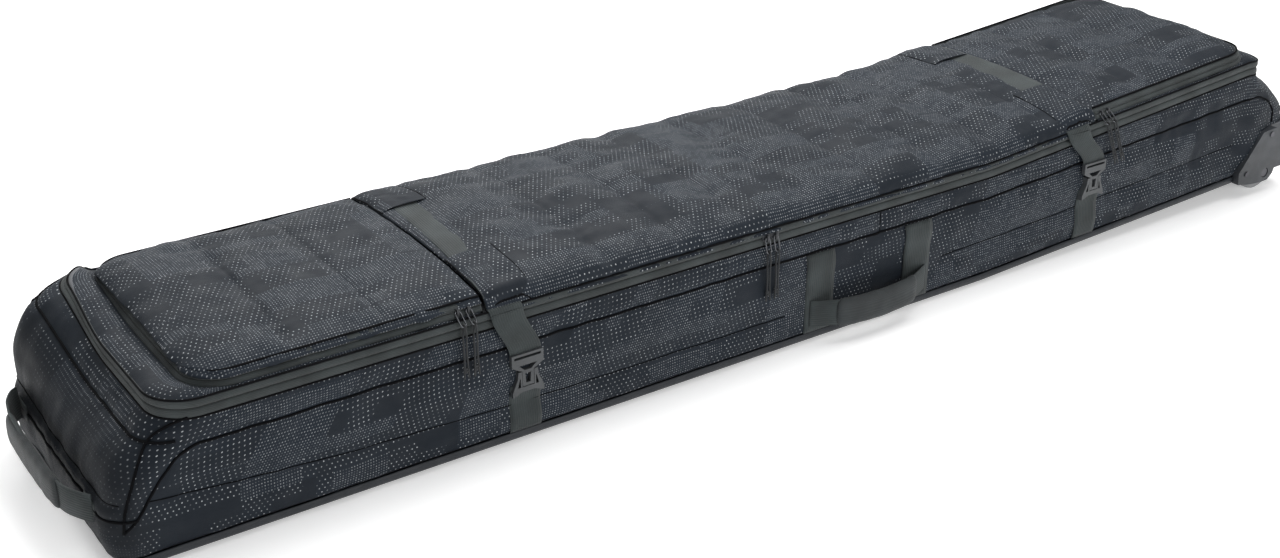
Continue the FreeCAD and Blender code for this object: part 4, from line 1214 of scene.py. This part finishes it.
def grip(name, line, up, height, webbing_height, pad, body, node):
    """A grip: webbing along a line and a stuffed sleeve over it between the shares in pad."""
    line = resample(rounded(line, 3), 0.004)
    count = len(line)
    tangents = np.gradient(line, axis=0)
    tangents /= np.linalg.norm(tangents, axis=1)[:, None]
    out = np.cross(tangents, up)
    t = np.linspace(0, 1, count)
    length = count * 0.004
    webbing = ribbon_solid(name.replace("_padded", "_webbing"), line, out, up, 0.0011, webbing_height / 2)
    finish_piece(webbing, WEBBING, body)
    inside = (t >= pad[0]) & (t <= pad[1])
    line, out, t = line[inside], out[inside], t[inside]
    count = len(line)
    share = np.clip(np.minimum(t - t[0], t[-1] - t) * length / 0.012, 0, 1)
    stuffed = np.sqrt(1 - (1 - share) ** 2.2)
    around = 28
    angle = np.linspace(0, 2 * math.pi, around, endpoint=False)
    points, uvs = [], []
    for k in range(count):
        tall = height * (0.72 + 0.28 * stuffed[k]) / 2
        thick = 0.0022 + 0.0042 * stuffed[k]
        for a in angle:
            c, s = math.cos(a), math.sin(a)
            flat = math.copysign(abs(c) ** 0.55, c)
            round_ = math.copysign(abs(s) ** (0.9 if stuffed[k] > 0.5 else 0.4), s)
            points.append(line[k] + out[k] * thick * round_ + np.array(up) * tall * flat)
            uvs.append((k * 0.004, a * height / math.pi))
    points = np.array(points)
    soft = noise(points, 0.012, 71) * 0.0007
    centre = np.repeat(line, around, 0)
    away = points - centre
    away /= np.maximum(np.linalg.norm(away, axis=1)[:, None], 1e-9)
    points = points + away * (soft * np.repeat(stuffed, around))[:, None]
    faces = grid_faces(count, around, wrap=True)
    faces.append(tuple(range(around))[::-1])
    faces.append(tuple(range((count - 1) * around, count * around)))
    thing = mesh_from(name, points, faces, uvs)
    add_subdivision(thing)
    finish_piece(thing, GRIP_PAD_PAINTED_SHADE, body, node)
    return thing


y0 = -HALF
grip(
    "side_grip_padded",
    [(-0.019, y0 - 0.0028, 0.045), (0.002, y0 - 0.013, 0.045), (0.028, y0 - 0.0262, 0.045)]
    + [(0.0835, y0 - 0.0285, 0.043)]
    + [(0.139, y0 - 0.0262, 0.045), (0.166, y0 - 0.013, 0.045), (0.187, y0 - 0.0028, 0.045)],
    (0, 0, 1.0),
    0.042,
    0.038,
    (0.16, 0.84),
    "side_grip",
    "side_grip",
)
x0 = -0.975
grip(
    "nose_grip_padded",
    [(x0 - 0.0030, 0.129, 0.064), (x0 - 0.014, 0.118, 0.066), (x0 - 0.0285, 0.088, 0.067), (x0 - 0.0295, 0, 0.067)]
    + [(x0 - 0.0285, -0.093, 0.067), (x0 - 0.014, -0.123, 0.066), (x0 - 0.0030, -0.134, 0.064)],
    (0, 0, 1.0),
    0.040,
    0.036,
    (0.17, 0.83),
    "nose_grip",
    "nose_grip",
)

# ---------------------------------------------------------------- grip patches and inner straps

for number, y in enumerate((-0.123, 0.118)):
    zs = np.linspace(0.0335, 0.0715, 10)
    centres = [(-0.9772 - 0.0006 * math.sin(math.pi * k / 9), y, z) for k, z in enumerate(zs)]
    patch = ribbon(f"nose_patch_{number}", centres, [(0, 1, 0)] * 10, [(-1, 0, 0)] * 10, 0.0355, 0.0015, 0.0003)
    finish_piece(patch, WEBBING, "shell", *(["nose_grip_webbing"] if number == 0 else []))

for number, x in enumerate((-0.420, 0.180)):
    ys = np.linspace(-0.159, 0.159, 60)
    ripple = noise(np.column_stack([ys * 0 + x, ys, ys * 0]), 0.06, 97) * 0.0006
    centres = np.column_stack([ys * 0 + x, ys, 0.0088 + ripple])
    strap = ribbon(f"tie_strap_{number}", centres, [(1, 0, 0)] * 60, [(0, 0, 1)] * 60, 0.038, 0.0016, 0.0003)
    finish_piece(strap, WEBBING, "shell", *(["tie_straps"] if number == 0 else []))
    rails = [[(x + side * 0.0215, y, 0.0122) for y in np.linspace(-0.0345, 0.0245, 12)] for side in (-1, 1)]
    across = np.linspace(-0.0225, 0.0225, 10)
    bars = [[(x + u, y, 0.0124) for u in across] for y in (-0.0325, -0.0180, 0.0080, 0.0225)]
    for part, path in enumerate(rails + bars):
        finish_piece(tube(f"tie_buckle_{number}_{part}", path, 0.0020 if part > 1 else 0.0023, 10), BUCKLE, "shell")

# ---------------------------------------------------------------- far side fold, seams in thread


def fold_strip(name, xs, start, end):
    """The fabric strip at the fold where the lid is sewn to the far wall; its hinge line is only listed in FOLDS."""
    zs = np.linspace(-0.0145, 0.0125, 10)
    points, uvs = [], []
    for x in xs:
        middle = float(0.1790 + rise(x, TOP_SLOPE))
        for z in zs:
            bow = 0.0012 * math.cos(z / 0.0145 * math.pi / 2)
            ripple = 0.0005 * float(noise(np.array([[x, 0, z]]), 0.02, 83)[0])
            points.append((x, HALF + 0.0002 + bow + ripple, middle + z))
            uvs.append((x, z + 0.18))
    faces = [f[::-1] for f in grid_faces(len(xs), len(zs))]
    thing = mesh_from(name, points, faces, uvs)
    add_thickness(thing, 0.0018, 0)
    thing.data.materials.append(FABRIC)
    PIECES.append(thing)
    FOLDS.append((thing, "shell", "lid", start, end))


normal = Vector((-TOP_SLOPE, 0, 1)).normalized()
low = Vector((BEND, 0.1845, 0.1720))
fold_strip("far_fold_front", steps(-0.868, BEND, 0.012), (0, 0.1845, 0.1720), (0, 0.1845, 0.1880))
fold_strip("far_fold_rear", steps(BEND, 0.864, 0.012), tuple(low), tuple(low + normal * 0.016))

def housing_liner(name, side):
    """Coated sheet inside the bag that closes off the corner where a wheel housing sits."""
    front, inner, tail, outer, top = HOUSING - 0.004, HOUSING_Y - 0.003, 0.9690, 0.1805, 0.128
    turn = np.linspace(0, math.pi / 2, 9)
    plan = [(front, y) for y in np.linspace(outer, inner + 0.012, 8)]
    plan += [(front + 0.012 - 0.012 * math.cos(t), inner + 0.012 - 0.012 * math.sin(t)) for t in turn[1:]]
    plan += [(x, inner) for x in np.linspace(front + 0.018, tail, 14)]
    levels = np.concatenate([np.linspace(0.004, 0.118, 12), top - 0.010 + 0.010 * np.sin(turn[1:])])
    grid = []
    for x, y in plan:
        low = float(rise(x, BASE_SLOPE))
        column = []
        for level in levels:
            over = 1 - math.sqrt(max(0, 1 - max(0, (level - 0.118) / 0.010) ** 2))
            z = max(level, low + 0.003) if level < 0.06 else level
            shift = 0.010 * over
            column.append((x + shift * (x < front + 0.004), side * (y + shift * (x > front + 0.004)), z))
        grid.append(column)
    grid = np.array(grid)
    grid += noise(grid, 0.03, 91)[..., None] * 0.0008
    faces = grid_faces(len(plan), len(levels))
    rim = [k * len(levels) + len(levels) - 1 for k in range(len(plan))]
    points = np.vstack([grid.reshape(-1, 3), [[tail, side * outer, top]]])
    faces.append(tuple(rim) + (len(points) - 1,))
    if side < 0:
        faces = [f[::-1] for f in faces]
    uvs = [(p[0] + p[1], p[2]) for p in points]
    thing = mesh_from(name, points, faces, uvs)
    add_thickness(thing, 0.0008, 0)
    finish_piece(thing, COATED, "shell")


housing_liner("housing_liner_near", -1)
housing_liner("housing_liner_far", 1)

for side in (-1, 1):
    stitches = [
        [wall_point(x, z, side) for x, z in FRONT_FOLD_XZ + [(-0.06, 0.052)]],
        [wall_point(x, 0.066 + float(rise(x, 0.052)), side) for x in (0.22, 0.4, 0.6, 0.84)],
        [wall_point(0.101, z, side) for z in (PIPING, ZIP_LOW)],
    ]
    for number, line in enumerate(stitches):
        path = [on_wall(p, 0.0004) for p in resample(rounded(line, 2), 0.006)]
        label = f"stitched_fold_{'near' if side < 0 else 'far'}_{number}"
        finish_piece(tube(label, path, 0.0007, 6), PIPING_BLACK, "shell")
path = [on_wall(p, 0.0004) for p in resample(stitched, 0.006)]
finish_piece(tube("stitched_nose", path, 0.0006, 6), PIPING_BLACK, "shell")

# ---------------------------------------------------------------- CAD pieces that stay

NODE_FINISH = {
    "base_board": BOARD,
    "front_buckle_base": BUCKLE,
    "front_buckle_clip": BUCKLE,
    "rear_buckle_base": BUCKLE,
    "rear_buckle_clip": BUCKLE,
    "wheel_housing_near": HOUSING_PLASTIC,
    "wheel_housing_far": HOUSING_PLASTIC,
    "tyre_near": TYRE,
    "tyre_far": TYRE,
    "wheel_hub_near": HUB,
    "wheel_hub_far": HUB,
    "wheel_bearings_near": STEEL,
    "wheel_bearings_far": STEEL,
    "axle_bolts": STEEL,
    "housing_screws": STEEL,
}
for slider in SLIDERS:
    NODE_FINISH[slider] = SLIDER_METAL
    NODE_FINISH[slider + "_pull_wire"] = WIRE
for name, material in NODE_FINISH.items():
    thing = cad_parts[name]
    thing.data.materials.clear()
    thing.data.materials.append(material)
    if "buckle" in name:
        add_bevel(thing, 0.0007, 2)
    if "housing_" in name and "screws" not in name:
        add_bevel(thing, 0.0022, 3)
    if name in SLIDERS:
        add_bevel(thing, 0.0004, 2)

# ---------------------------------------------------------------- floor, light and world


def area_light(name, place, target, size, power):
    light = bpy.data.lights.new(name, "AREA")
    light.shape = "RECTANGLE"
    light.size, light.size_y = size
    light.energy = power
    thing = bpy.data.objects.new(name, light)
    thing.location = place
    thing.rotation_euler = (Vector(target) - Vector(place)).to_track_quat("-Z", "Y").to_euler()
    scene.collection.objects.link(thing)


floor_mesh = bpy.data.meshes.new("floor")
corners = [(x, y, -0.0003) for x, y in ((-30, -30), (30, -30), (30, 30), (-30, 30))]
floor_mesh.from_pydata(corners, [], [(0, 1, 2, 3)])
floor = link("floor", floor_mesh)
g = Graph("floor")
g.finish((0.93, 0.93, 0.93), 0.9, specular=0.1)
g.shader.inputs["Emission Color"].default_value = (1, 1, 1, 1)
g.shader.inputs["Emission Strength"].default_value = 0.32
floor.data.materials.append(g.material)

area_light("overhead", (0.3, 0.5, 2.6), (0, 0, 0), (3.8, 2.2), 90)
area_light("front", (0.2, -3.0, 1.3), (0, 0, 0.1), (2.0, 0.9), 30)
area_light("back", (0.6, 2.6, 1.7), (0.1, 0, 0.15), (3.2, 1.2), 36)
world = bpy.data.worlds.new("studio")
scene.world = world
world.use_nodes = True
world.node_tree.nodes["Background"].inputs[0].default_value = (1, 1, 1, 1)
world.node_tree.nodes["Background"].inputs[1].default_value = 0.34
scene.view_settings.view_transform = "Standard"

# ---------------------------------------------------------------- the far corner of the nose stands fuller


def smooth(t):
    t = np.clip(t, 0, 1)
    return t * t * (3 - 2 * t)


HEIGHTS = [0, 0.075, 0.111, 0.140, 0.154, 0.168, 0.188, 0.206, 0.240]
RAISED = [0, 0.082, 0.142, 0.180, 0.191, 0.198, 0.2035, 0.2085, 0.240]
PUSHED = [0, 0, -0.004, -0.008, -0.004, 0.003, 0.012, 0.009, 0]
for thing in PIECES:
    if thing.type != "MESH" or thing.name == "nose_grip_padded":
        continue
    co = np.zeros(len(thing.data.vertices) * 3)
    thing.data.vertices.foreach_get("co", co)
    co = co.reshape(-1, 3)
    weight = smooth((co[:, 1] + 0.02) / 0.19) * smooth((-0.850 - co[:, 0]) / 0.04)
    droop = smooth((co[:, 0] - 0.845) / 0.07) * smooth((co[:, 2] - 0.12) / 0.09)
    if droop.max() > 0:
        co[:, 2] -= 0.012 * droop
        co[:, 0] -= 0.006 * droop
        thing.data.vertices.foreach_set("co", co.ravel())
    if weight.max() > 0:
        up = np.interp(co[:, 2], HEIGHTS, RAISED) - co[:, 2]
        along = np.interp(co[:, 2], HEIGHTS, PUSHED)
        co[:, 2] += weight * up
        co[:, 0] += weight * along
        thing.data.vertices.foreach_set("co", co.ravel())
        thing.data.update()

for thing, fixed, moving, start, end in FOLDS:
    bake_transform(thing)
